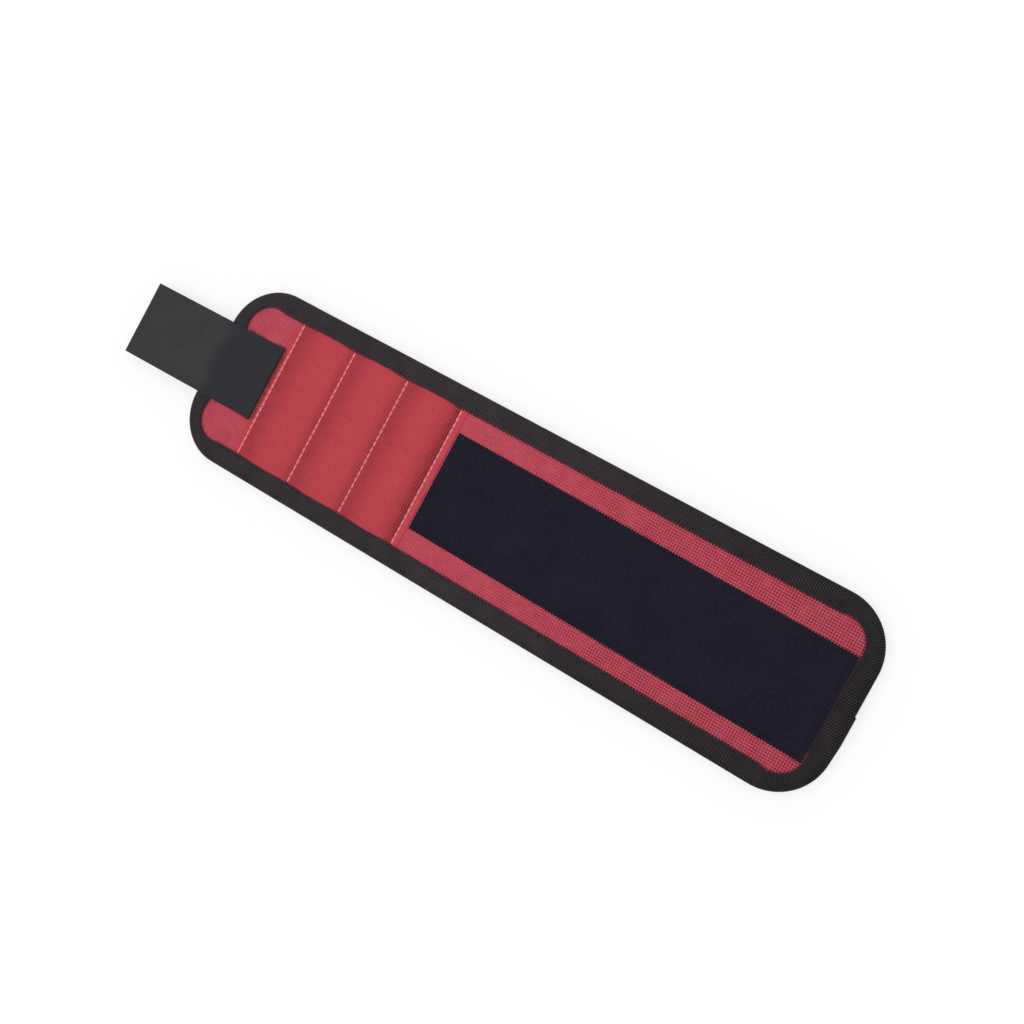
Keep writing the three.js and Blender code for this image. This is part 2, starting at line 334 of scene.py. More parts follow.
@dataclass(frozen=True)
class Weave(Finish):
    """Nylon cloth of crossing yarns, each a little lighter or darker than the next."""

    pale: Rgb
    yarn: float
    relief: float
    contrast: float
    blotch: float

    def yarns(self, shading: Shading) -> tuple[Value, Value]:
        """The crossing yarns.

        Args:
            shading: the tree that they are drawn in.

        Returns:
            The height of the yarns, from 0 to 1, and a random number for each crossing.
        """
        along, across, _ = shading.split(shading.cloth_place())
        warp_place = along / self.yarn
        weft_place = across / self.yarn
        column = warp_place.run("FLOOR")
        row = weft_place.run("FLOOR")
        over = ((column + row) * 0.5).run("FRACT") * 2
        from_warp = warp_place.run("FRACT") * 2 - 1
        from_weft = weft_place.run("FRACT") * 2 - 1
        warp = (1 - from_warp * from_warp) * (1 - from_weft * from_weft * 0.55)
        weft = (1 - from_weft * from_weft) * (1 - from_warp * from_warp * 0.55)
        return warp + (weft - warp) * over, shading.pick(shading.joined(column, row))

    def cover(self, shading: Shading, height: Value, lit: Value, paler: Value) -> None:
        """Ends the cloth with the height of its yarns, how lit they are and how much paler."""
        colour = shading.mix(paler, self.toned(shading, lit), linear(self.pale))
        shading.surface(colour, 0.86 - height * 0.14, height, self.relief, specular=0.12)


@dataclass(frozen=True)
class FaceWeave(Weave):
    """The face's cloth, whose gaps show more in patches and towards the tail."""

    coarse: Pair
    patch: float
    patch_step: Pair = (0.4, 0.62)
    gap_step: Pair = (0.08, 0.62)

    def draw(self, shading: Shading) -> None:
        """Draws the weave with more and less open stretches.

        Args:
            shading: the material's tree.
        """
        height, speckle = self.yarns(shading)
        place = shading.cloth_place()
        along, _, _ = shading.split(place)
        patches = shading.cloud(place, self.patch, detail=2.0).step(*self.patch_step)
        coarse = along.step(*self.coarse) * 0.75 + patches * 0.25
        contrast = (coarse * 0.75 + 0.25) * self.contrast
        lit = 1 - (1 - height.step(*self.gap_step)) * contrast
        paler = (shading.cloud(place, self.blotch) - 0.4) * 0.7 + (speckle - 0.5) * 0.3
        self.cover(shading, height, lit, paler)


@dataclass(frozen=True)
class PocketWeave(Weave):
    """The pockets' cloth, darker along its seams with painted shade, and paler on its hems."""

    seams: list[float]
    pitch: float
    hem_edge: float = 0.4 * MM
    gap_step: Pair = (0.1, 0.8)
    wear_before: Pair = (0.8, 1.0)
    wear_after: Pair = (0.05, 0.5)
    wear_last: float = 0.36

    def draw(self, shading: Shading) -> None:
        """Draws the weave with painted shade beside the seams, which is told by how far along a pocket it
        lies.

        Args:
            shading: the material's tree.
        """
        height, speckle = self.yarns(shading)
        place = shading.cloth_place()
        along, _, _ = shading.split(place)
        past_first = along - self.seams[0]
        past_last = along - self.seams[-1]
        phase = (past_first / self.pitch).run("FRACT")
        blotch = shading.cloud(place, self.blotch)
        hem = past_last.step(0.0, self.hem_edge)
        inside = past_first.step(0.0, self.hem_edge) * (1 - hem)
        # Painted shade on the pockets' flanks: after each seam, before the next one and most before the
        # last seam, in blotches.
        before = phase.step(*self.wear_before)
        after = 1 - phase.step(*self.wear_after)
        last = past_last.step(-self.wear_last * self.pitch, 0.0)
        seam_shade = (before * 0.6 + after * 0.5 + last * 0.6) * (blotch * 1.4) * inside
        dots = 1 - height.step(*self.gap_step)
        lit = 1 - dots * self.contrast * (seam_shade * 1.3 + 0.5) - seam_shade * 0.45
        paler = (blotch - 0.5) * 0.5 + (speckle - 0.5) * 0.2 + hem * 0.2
        self.cover(shading, height, lit, paler)


@dataclass(frozen=True)
class RibbedTape(Finish):
    """Grosgrain tape with fine ribs across its length, darker towards the tail with painted shade."""

    rib: float
    relief: float
    darker: Pair
    wander: float = 4 * MM
    blotch: float = 11 * MM
    groove_step: Pair = (0.05, 0.9)

    def draw(self, shading: Shading) -> None:
        """Draws the ribs, the threads across them and faint blotches.

        Args:
            shading: the material's tree.
        """
        place = shading.cloth_place()
        along, across, _ = shading.split(place)
        wander = (shading.cloud(place, self.wander, detail=2.0) - 0.5) * 0.25
        rib = (along / self.rib + wander).ridges()
        thread = (across / (0.5 * self.rib)).ridges()
        blotch = shading.cloud(place, self.blotch)
        x, _, _ = shading.split(shading.body_place())
        # Painted shade: the tape gets darker along the band towards the tail, as if the light fell off
        # there.
        lit = rib.step(*self.groove_step) * 0.95 + blotch * 0.8 - 0.38 - x.step(*self.darker) * 0.42
        height = rib * 0.8 + thread * 0.2
        shading.surface(self.toned(shading, lit), 0.8 - rib * 0.15, height, self.relief, specular=0.12)


@dataclass(frozen=True)
class TwillTape(Finish):
    """Flat strap tape with a fine slanting twill, darker where it is sewn on."""

    line: float
    relief: float
    sewn_from: float
    sewn_ease: Pair = (-4 * MM, 10 * MM)
    blotch: float = 14 * MM

    def draw(self, shading: Shading) -> None:
        """Draws the twill, the threads across it and faint blotches.

        Args:
            shading: the material's tree.
        """
        place = shading.cloth_place()
        along, across, _ = shading.split(place)
        sewn = (along - self.sewn_from).step(*self.sewn_ease)
        slant = ((along + across * 0.6) / self.line).ridges()
        weft = (along / (0.6 * self.line)).ridges()
        lit = slant * 0.5 + shading.cloud(place, self.blotch) * 0.8 - 0.15 - sewn * 0.7
        height = slant * 0.65 + weft * 0.35
        shading.surface(self.toned(shading, lit), 0.72 - slant * 0.12, height, self.relief, specular=0.15)


@dataclass(frozen=True)
class LoopPile(Finish):
    """The loop side of a hook and loop closure: a mat of tiny curled fibres."""

    loop: float
    relief: float
    brushed: float = 22 * MM

    def draw(self, shading: Shading) -> None:
        """Draws the loops, their fibres and the way that they are brushed.

        Args:
            shading: the material's tree.
        """
        place = shading.cloth_place()
        curl = 1 - shading.cells(place, self.loop).step(0.0, 0.9)
        height = curl * 0.6 + shading.cloud(place, 0.45 * self.loop, detail=4.0) * 0.4
        lit = height * 0.7 + shading.cloud(place, self.brushed) * 0.6 - 0.2
        shading.surface(self.toned(shading, lit), 0.95, height, self.relief, specular=0.08)


@dataclass(frozen=True)
class Thread(Finish):
    """Sewing thread of twisted strands."""

    relief: float = 0.05 * MM
    groove_step: Pair = (0.1, 0.7)

    def draw(self, shading: Shading) -> None:
        """Draws the strands.

        Args:
            shading: the material's tree.
        """
        around, along, _ = shading.split(shading.cloth_place())
        strand = (around * 2 + along * 3).ridges()
        colour = self.toned(shading, strand.step(*self.groove_step))
        shading.surface(colour, 0.62 - strand * 0.1, strand, self.relief, specular=0.2)


@dataclass(frozen=True)
class MeshLining(Finish):
    """Knitted spacer mesh with rows of small round holes."""

    pitch: float
    relief: float
    row_share: float = 0.87
    rim_step: Pair = (0.3, 0.75)

    def draw(self, shading: Shading) -> None:
        """Draws the holes in shifted rows, and the knit between them.

        Args:
            shading: the material's tree.
        """
        place = shading.cloth_place()
        along, across, _ = shading.split(place)
        row = across / (self.pitch * self.row_share)
        shift = (row.run("FLOOR") * 0.5).run("FRACT")
        x = ((along / self.pitch + shift).run("FRACT") - 0.5) * 2
        y = (row.run("FRACT") - 0.5) * 2
        rim = (x * x + y * y).run("SQRT").step(*self.rim_step)
        lit = rim * 0.8 + shading.cloud(place, 0.5 * self.pitch) * 0.4 - 0.15
        shading.surface(self.toned(shading, lit), 0.88 - rim * 0.1, rim, self.relief, specular=0.15)


@dataclass(frozen=True)
class OpenFoam(Finish):
    """Grey foam with fine open cells."""

    cell: float
    relief: float = 0.2 * MM
    wall_step: Pair = (0.15, 0.6)

    def draw(self, shading: Shading) -> None:
        """Draws the cells and their walls."""
        wall = shading.cells(shading.body_place(), self.cell).step(*self.wall_step)
        shading.surface(self.toned(shading, wall), 0.97, wall, self.relief)


@dataclass(frozen=True)
class HookPlastic(Finish):
    """Woven nylon that carries the hooks."""

    fleck: float = 1.2 * MM
    relief: float = 0.05 * MM

    def draw(self, shading: Shading) -> None:
        """Draws the nylon with fine flecks."""
        fleck = shading.cloud(shading.body_place(), self.fleck)
        shading.surface(self.toned(shading, fleck), 0.55 - fleck * 0.2, fleck, self.relief)


@dataclass(frozen=True)
class PlatedSteel(Finish):
    """Nickel plating with fine scuffs and duller blotches."""

    blotch: float = 4 * MM
    scuff: float = 0.4 * MM
    relief: float = 0.01 * MM

    def draw(self, shading: Shading) -> None:
        """Draws the plating.

        Args:
            shading: the material's tree.
        """
        place = shading.body_place()
        blotch = shading.cloud(place, self.blotch, detail=4.0)
        scuff = shading.cloud(place, self.scuff, detail=2.0)
        colour = shading.mix(blotch, linear(self.colour), linear(self.second))
        shading.surface(colour, 0.2 + blotch * 0.2 + scuff * 0.1, scuff, self.relief, metallic=1.0)


# The band's plan, read from the frame


@dataclass(frozen=True)
class Run:
    """A straight or round stretch of the band's edge, followed with the band on the left."""

    start: Vector
    facing: float
    length: float
    radius: float

    def at(self, along: float) -> tuple[Vector, float]:
        """A place on the stretch.

        Args:
            along: how far it lies from the stretch's start.

        Returns:
            The place, and the direction that faces away from the band there, in radians.
        """
        outward = heading(self.facing)
        if not self.radius:
            return self.start + Vector((-outward.y, outward.x)) * along, self.facing
        angle = self.facing + along / self.radius
        return self.start - outward * self.radius + heading(angle) * self.radius, angle


@dataclass(frozen=True)
class Span:
    """A length of the band from the middle of one stretch to the middle of the next, round one fold."""

    number: int
    low: Optional[float]
    high: Optional[float]
    bodies: tuple[str, str]
    start: float
    end: float

    @property
    def covers(self) -> tuple[str, ...]:
        """The bodies whose solids the span's pieces replace, with the strap end in the first span."""
        return self.bodies if self.number == 0 else self.bodies[1:]

    def holds(self, x: float) -> bool:
        """Whether a place along the band lies in the span."""
        return (self.low is None or x >= self.low) and (self.high is None or x < self.high)

    def carry(self, piece: Piece) -> None:
        """Bakes a piece's transform into its mesh."""
        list(self.bodies)
        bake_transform(piece)


@dataclass(frozen=True)
class Plan:
    """The band's outline, folds and heights."""

    strap_end_radius: float = 25.5 * MM
    tail_end_radius: float = 25 * MM
    pocket_bend: float = 8 * MM
    tail_bend: float = 9 * MM
    binding_cover: float = 9.5 * MM
    lap_across: float = -11 * MM
    left: float = field(default_factory=lambda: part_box("binding_strap_end")[0].x)
    right: float = field(default_factory=lambda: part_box("binding_tail_4")[1].x)
    half: float = field(default_factory=lambda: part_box("binding_strap_end")[1].y)
    thick: float = field(default_factory=lambda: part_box("binding_strap_end")[1].z)
    face: float = field(default_factory=lambda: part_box("face_strap_end")[1].z)

    @cached_property
    def hinges(self) -> list[dict[str, Any]]:
        """The joints that bend the band, from the strap end to the tail."""
        found = [joint for joint in frame["joints"] if joint["child"] != "strap"]
        return sorted(found, key=lambda joint: joint["pos_m"][0])

    @cached_property
    def folds(self) -> list[float]:
        """Places of the fold lines along the band."""
        return [joint["pos_m"][0] for joint in self.hinges]

    @cached_property
    def middles(self) -> list[float]:
        """The middle of each stretch between fold lines, from the strap end to the tail."""
        lines = [self.left, *self.folds, self.right]
        return [(low + high) / 2 for low, high in zip(lines, lines[1:])]

    @cached_property
    def spans(self) -> list[Span]:
        """Cuts the band into one span for each fold.

        Returns:
            The spans from the strap end to the tail, the two end ones open outwards.
        """
        cuts = [None, *self.middles[1:-1], None]
        made = []
        for number, (joint, fold) in enumerate(zip(self.hinges, self.folds)):
            bodies = (joint["parent"], joint["child"])
            bend = self.tail_bend if bodies[0].startswith("tail") else self.pocket_bend
            made.append(Span(number, cuts[number], cuts[number + 1], bodies, fold - bend, fold + bend))
        return made

    @cached_property
    def tail_spans(self) -> list[Span]:
        """The spans that bend the tail, behind the pockets."""
        return [span for span in self.spans if span.bodies[1].startswith("tail")]

    @cached_property
    def pocket_seams(self) -> list[float]:
        """Places of the sewn lines on each side of the pockets."""
        return self.folds[: len(self.folds) - len(self.tail_spans) + 1]

    @cached_property
    def pocket_pitch(self) -> float:
        """The length of one pocket along the band."""
        return (self.pocket_seams[-1] - self.pocket_seams[0]) / (len(self.pocket_seams) - 1)

    def half_at(self, x: float, inset: float) -> float:
        """Half of the band's width.

        Args:
            x: the place along the band.
            inset: how far the outline is drawn in.

        Returns:
            The distance from the middle line to the drawn-in edge.
        """
        half = self.half - inset
        ends = ((x - self.left, self.strap_end_radius), (self.right - x, self.tail_end_radius))
        for from_end, radius in ends:
            inner = radius - inset
            past = radius - max(inset, from_end)
            if past > 0:
                half = min(half, self.half - radius + math.sqrt(max(0.0, inner**2 - past**2)))
        return half

    def from_edge(self, x: float, y: float) -> float:
        """How far a point lies in from the band's edge.

        Args:
            x: the place along the band.
            y: the place across it.

        Returns:
            The distance to the edge.
        """
        near_tail = x > (self.left + self.right) / 2
        radius = self.tail_end_radius if near_tail else self.strap_end_radius
        from_end = self.right - x if near_tail else x - self.left
        from_side = self.half - abs(y)
        if from_end < radius and from_side < radius:
            return radius - math.hypot(radius - from_end, radius - from_side)
        return min(from_end, from_side)

    @cached_property
    def edge_runs(self) -> list[Run]:
        """Follows the edge once round.

        Returns:
            The stretches from the tape's lap at the tail and back to it.
        """
        near = self.strap_end_radius
        far = self.tail_end_radius
        side = self.right - self.left - near - far
        first = self.half - far - self.lap_across
        straights = [first, side, 2 * (self.half - near), side, self.half - far + self.lap_across]
        place = Vector((self.right, self.lap_across))
        facing = 0.0
        made = []
        for straight, radius in zip(straights, [far, near, near, far, 0.0]):
            for length, bend in ((straight, 0.0), (radius * math.pi / 2, radius)):
                if length > 0:
                    made.append(Run(place, facing, length, bend))
                    place, facing = made[-1].at(length)
        return made

    @cached_property
    def edge_length(self) -> float:
        """The length of the edge once round."""
        return sum(run.length for run in self.edge_runs)

    def edge_at(self, along: float) -> tuple[Vector, float, float]:
        """A place on the edge.

        Args:
            along: the distance from the tape's lap, which may be more than once round.

        Returns:
            The place, the direction that faces away from the band there, in radians, and 1 in the
            middle of a round corner, 0 on the straights and a smooth fall between them.
        """
        rest = along % self.edge_length
        for run in self.edge_runs:
            if rest <= run.length:
                break
            rest -= run.length
        else:
            rest = run.length
        corner = math.sin(math.pi * rest / run.length) if run.radius else 0.0
        return *run.at(rest), corner


# Mesh making


def to_data(name: str, mesh: Mesh) -> bpy.types.Mesh:
    """Keeps a mesh as Blender's mesh data.

    Args:
        name: the data's name.
        mesh: the mesh, which is used up.

    Returns:
        The data.
    """
    data = bpy.data.meshes.new(name)
    mesh.to_mesh(data)
    mesh.free()
    return data


def add_object(name: str, data: bpy.types.ID) -> Piece:
    """Adds an object to the scene.

    Args:
        name: its name.
        data: its mesh, lamp or camera.

    Returns:
        The object.
    """
    made = bpy.data.objects.new(name, data)
    bpy.context.scene.collection.objects.link(made)
    return made


def laid_sheet(columns: int, rows: int, cut: Spot, place: Place) -> Mesh:
    """An open sheet in its place, which keeps where each point lay on the cut cloth.

    Args:
        columns: how many cells it has along.
        rows: how many cells it has across.
        cut: gives the place on the cut cloth, in metres, for shares of the sheet from 0 to 1.
        place: gives the place on the band, in metres, for the same shares.

    Returns:
        The sheet.
    """
    mesh = bmesh.new()
    mesh.loops.layers.uv.new(CLOTH_MAP)
    bmesh.ops.create_grid(mesh, x_segments=columns, y_segments=rows, size=0.5)
    bmesh.ops.translate(mesh, verts=mesh.verts, vec=(0.5, 0.5, 0))
    layer = mesh.loops.layers.uv[CLOTH_MAP]
    for face in mesh.faces:
        for loop in face.loops:
            loop[layer].uv = cut(loop.vert.co.x, loop.vert.co.y)
    for vert in mesh.verts:
        vert.co = place(vert.co.x, vert.co.y)
    return mesh


def level_sheet(columns: int, rows: int, spot: Spot, height: Measure) -> Mesh:
    """An open sheet that lies over the band just as it was cut.

    Args:
        columns: how many cells it has along.
        rows: how many cells it has across.
        spot: gives the place along and across the band for shares of the sheet from 0 to 1.
        height: gives the height at such a place.

    Returns:
        The sheet.
    """

    def place(u: float, v: float) -> Vector:
        """The place on the band."""
        x, y = spot(u, v)
        return Vector((x, y, height(x, y)))

    return laid_sheet(columns, rows, spot, place)


def band_sheet(
    plan: Plan,
    inset: float,
    cell: float,
    height: Measure,
    start: Optional[float] = None,
    end: Optional[float] = None,
) -> Mesh:
    """An open sheet with the band's drawn-in outline.

    Args:
        plan: the band's plan.
        inset: how far the outline is drawn in.
        cell: the size of its cells.
        height: gives the height at a place on the band.
        start: where it starts along the band, or None for the outline's own end.
        end: where it ends along the band, or None for the outline's own end.

    Returns:
        The sheet.
    """
    low = plan.left + inset if start is None else start
    high = plan.right - inset if end is None else end

    def spot(u: float, v: float) -> Pair:
        """The place along and across the band."""
        x = low + (high - low) * u
        return x, (2 * v - 1) * plan.half_at(x, inset)

    return level_sheet(round((high - low) / cell), round(2 * plan.half / cell), spot, height)


def tape_sheet(low: Vector, high: Vector, cell: float, across: Measure, height: Measure) -> Mesh:
    """An open sheet of straight tape that may be sewn on a little askew.

    Args:
        low: the lowest corner of the straight tape.
        high: its highest corner.
        cell: the size of its cells.
        across: gives where a place of the straight tape comes to lie across the band.
        height: gives the height at a place on the band.

    Returns:
        The sheet.
    """
    length = high.x - low.x
    width = high.y - low.y

    def spot(u: float, v: float) -> Pair:
        """The place along and across the band."""
        x = low.x + length * u
        return x, across(x, low.y + width * v)

    return level_sheet(round(length / cell), round(width / cell), spot, height)


def turn_over(mesh: Mesh) -> None:
    """Makes a sheet face the other way."""
    bmesh.ops.reverse_faces(mesh, faces=mesh.faces[:])


def bisect(mesh: Mesh, point: Vector, normal: Vector, clear: bool = False) -> None:
    """Cuts a mesh along a plane.

    Args:
        mesh: the mesh.
        point: a point of the plane.
        normal: the way that the plane faces.
        clear: whether the side that the plane faces is taken away.
    """
    geometry = [*mesh.verts, *mesh.edges, *mesh.faces]
    bmesh.ops.bisect_plane(
        mesh, geom=geometry, dist=CUT_GRAIN, plane_co=point, plane_no=normal, clear_outer=clear
    )


def kept(mesh: Mesh, low: Optional[float], high: Optional[float]) -> Mesh:
    """A copy of a sheet between two places along the band.

    Args:
        mesh: the whole sheet.
        low: where the copy starts, or None for the sheet's own end.
        high: where the copy ends, or None for the sheet's own end.

    Returns:
        The cut copy.
    """
    part = mesh.copy()
    for x, side in ((low, -1), (high, 1)):
        if x is not None:
            bisect(part, Vector((x, 0, 0)), Vector((side, 0, 0)), clear=True)
    return part


def cut_size(sheet: Mesh) -> tuple[float, float, float]:
    """The size of an open sheet on the cut cloth.

    Args:
        sheet: the open sheet.

    Returns:
        Its width, its length and its area.
    """
    layer = sheet.loops.layers.uv[CLOTH_MAP]
    places = []
    area = 0.0
    for face in sheet.faces:
        points = [loop[layer].uv.copy() for loop in face.loops]
        turns = [a.x * b.y - b.x * a.y for a, b in zip(points, points[1:] + points[:1])]
        area += abs(sum(turns)) / 2
        places += points
    along = [place.x for place in places]
    across = [place.y for place in places]
    return max(across) - min(across), max(along) - min(along), area


def thicken(mesh: Mesh, thickness: float) -> None:
    """Gives an open sheet its thickness, on the side away from its face."""
    bmesh.ops.solidify(mesh, geom=mesh.faces[:], thickness=thickness)
    bmesh.ops.recalc_face_normals(mesh, faces=mesh.faces[:])


def turns_more(edge: bmesh.types.BMEdge, angle: float) -> bool:
    """Whether two faces meet at an edge and turn there by more than an angle."""
    return len(edge.link_faces) == 2 and edge.calc_face_angle() > angle


def soften_rim(mesh: Mesh, width: float, cut: float) -> None:
    """Rounds the sharp rims of a thick sheet, but not where it is cut from its neighbour.

    Args:
        mesh: the thick sheet.
        width: how wide the rounding is.
        cut: the place along the band where the sheet is cut.
    """
    same = 0.01 * MM
    sharp = [edge for edge in mesh.edges if turns_more(edge, RIM_ANGLE)]
    rims = [edge for edge in sharp if all(abs(vert.co.x - cut) >= same for vert in edge.verts)]
    bmesh.ops.bevel(
        mesh,
        geom=rims,
        offset=width,
        offset_type="OFFSET",
        segments=2,
        profile=0.5,
        affect="EDGES",
        material=-1,
        clamp_overlap=True,
    )


def finish_piece(name: str, mesh: Mesh, material: Material, slot: str) -> Piece:
    """Makes a shown piece from a mesh.

    Args:
        name: the piece's name.
        mesh: its shape, which is used up.
        material: its finish.
        slot: not used.

    Returns:
        The new piece.
    """
    for face in mesh.faces:
        face.smooth = True
    for edge in mesh.edges:
        if turns_more(edge, SHARP_ANGLE):
            edge.smooth = False
    data = to_data(name, mesh)
    data.materials.append(material)
    piece = add_object(name, data)
    LOG.info("made %s with %d faces", name, len(data.polygons))
    return piece


@dataclass
class Scatter:
    """Many copies of one small shape in one mesh."""

    shape: bpy.types.Mesh
    mesh: Mesh = field(default_factory=bmesh.new)

    def add(self, matrix: Matrix) -> None:
        """Adds one copy.

        Args:
            matrix: where it lies, how it is turned and how large it is.
        """
        before = len(self.mesh.verts)
        self.mesh.from_mesh(self.shape)
        self.mesh.verts.ensure_lookup_table()
        for vert in self.mesh.verts[before:]:
            vert.co = matrix @ vert.co

    def finish(self, name: str, material: Material, slot: str) -> Piece:
        """Makes the shown piece, after which the copied shape is no longer needed."""
        bpy.data.meshes.remove(self.shape)
        return finish_piece(name, self.mesh, material, slot)


def bead(around: int, rings: int) -> bpy.types.Mesh:
    """A round bead of thread, which lies along the band and has a radius of 1.

    Args:
        around: how many faces it has around.
        rings: how many faces it has along.

    Returns:
        The bead.
    """
    mesh = bmesh.new()
    mesh.loops.layers.uv.new(CLOTH_MAP)
    lying = Matrix.Rotation(math.pi / 2, 4, "Y")
    bmesh.ops.create_uvsphere(
        mesh, u_segments=around, v_segments=rings, radius=1, matrix=lying, calc_uvs=True
    )
    return to_data("bead", mesh)


def stitch_at(centre: Vector, angle: float, half_length: float, radius: float, high: float) -> Matrix:
    """Where a bead becomes a stitch: its middle, its direction and its three half sizes."""
    size = Matrix.Diagonal((half_length, radius, high, 1))
    return Matrix.Translation(centre) @ Matrix.Rotation(angle, 4, "Z") @ size


# Sub-assemblies


class Held(Enum):
    """How a sheet is held, in the frame's words."""

    LAID = "laid"
    FOLDED = "folded"
    STRETCHED = "stretched"


@dataclass
class SheetLayer:
    """A layer of the band that is made of sheet and shown in several pieces."""

    plan: Plan
    material: Material
    thickness: float = 0.6 * MM
    slot: ClassVar[str] = "red_cloth"
    held: ClassVar[Held] = Held.STRETCHED
    in_strips: ClassVar[bool] = False

    def give_body(self, sheet: Mesh) -> None:
        """Gives an open sheet its thickness."""
        thicken(sheet, self.thickness)

    def add(self, name: str, sheet: Mesh, carry: Carry, nodes: list[str], on: str) -> None:
        """Makes one piece and measures its sheet, whose strips, if it has any, count end to end.

        Args:
            name: the piece's name.
            sheet: its open sheet, which is used up.
            carry: is called with the finished piece.
            nodes: the solids that it replaces.
            on: not used.
        """
        width, length, area = cut_size(sheet)
        if self.in_strips:
            length = area / width
        self.give_body(sheet)
        piece = finish_piece(name, sheet, self.material, self.slot)
        carry(piece)
        if nodes:
            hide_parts(*nodes)


@dataclass
class FaceCloth(SheetLayer):
    """The red face at the strap end and along the tail, under the binding, strap and loop patch."""

    inset: float = 2.5 * MM
    cell: float = 2.0 * MM
    from_seam: float = 1.2 * MM
    hem: float = 3.2 * MM
    under_hem: float = 0.3 * MM
    hem_step: Pair = (-1 * MM, 1 * MM)
    hem_ease: Pair = (-0.5 * MM, 4 * MM)
    swell: float = 0.45 * MM
    swell_start: float = 9.5 * MM
    swell_reach: float = 7 * MM
    ripple: float = 0.12 * MM
    ripple_size: float = 8 * MM
    ripple_reach: float = 2 * MM

    def height(self, x: float, y: float) -> float:
        """The height of the face's outer side.

        Args:
            x: the place along the band.
            y: the place across it.

        Returns:
            The height, which is lower under the pockets' hems.
        """
        inside = self.plan.from_edge(x, y) - self.swell_start
        lift = eased(0, self.swell_reach, inside) * self.swell
        ripple = waves(x, y, self.ripple_size, layer=0) * self.ripple
        lift += ripple * eased(0, self.ripple_reach, inside)
        seams = self.plan.pocket_seams
        from_hem = max(seams[0] - x, x - seams[-1]) - self.hem
        tucked = self.under_hem * (1 - eased(*self.hem_step, from_hem))
        return self.plan.face + lift * eased(*self.hem_ease, from_hem) - tucked

    def build(self) -> None:
        """Makes the face in one piece at the strap end and one for each fold of the tail."""
        seams = self.plan.pocket_seams
        first = self.plan.spans[0]
        tail = self.plan.tail_spans
        make = (self.plan, self.inset, self.cell, self.height)
        near = band_sheet(*make, end=seams[0] - self.from_seam)
        far = band_sheet(*make, start=seams[-1] + self.from_seam)
        cuts = [(near, first, first.bodies[0])]
        for span in tail:
            low = None if span is tail[0] else span.low
            cuts.append((kept(far, low, span.high), span, span.bodies[1]))
        for sheet, span, body in cuts:
            self.add(f"face_cloth_{body}", sheet, span.carry, [f"face_{body}"], f"padding_{body}")


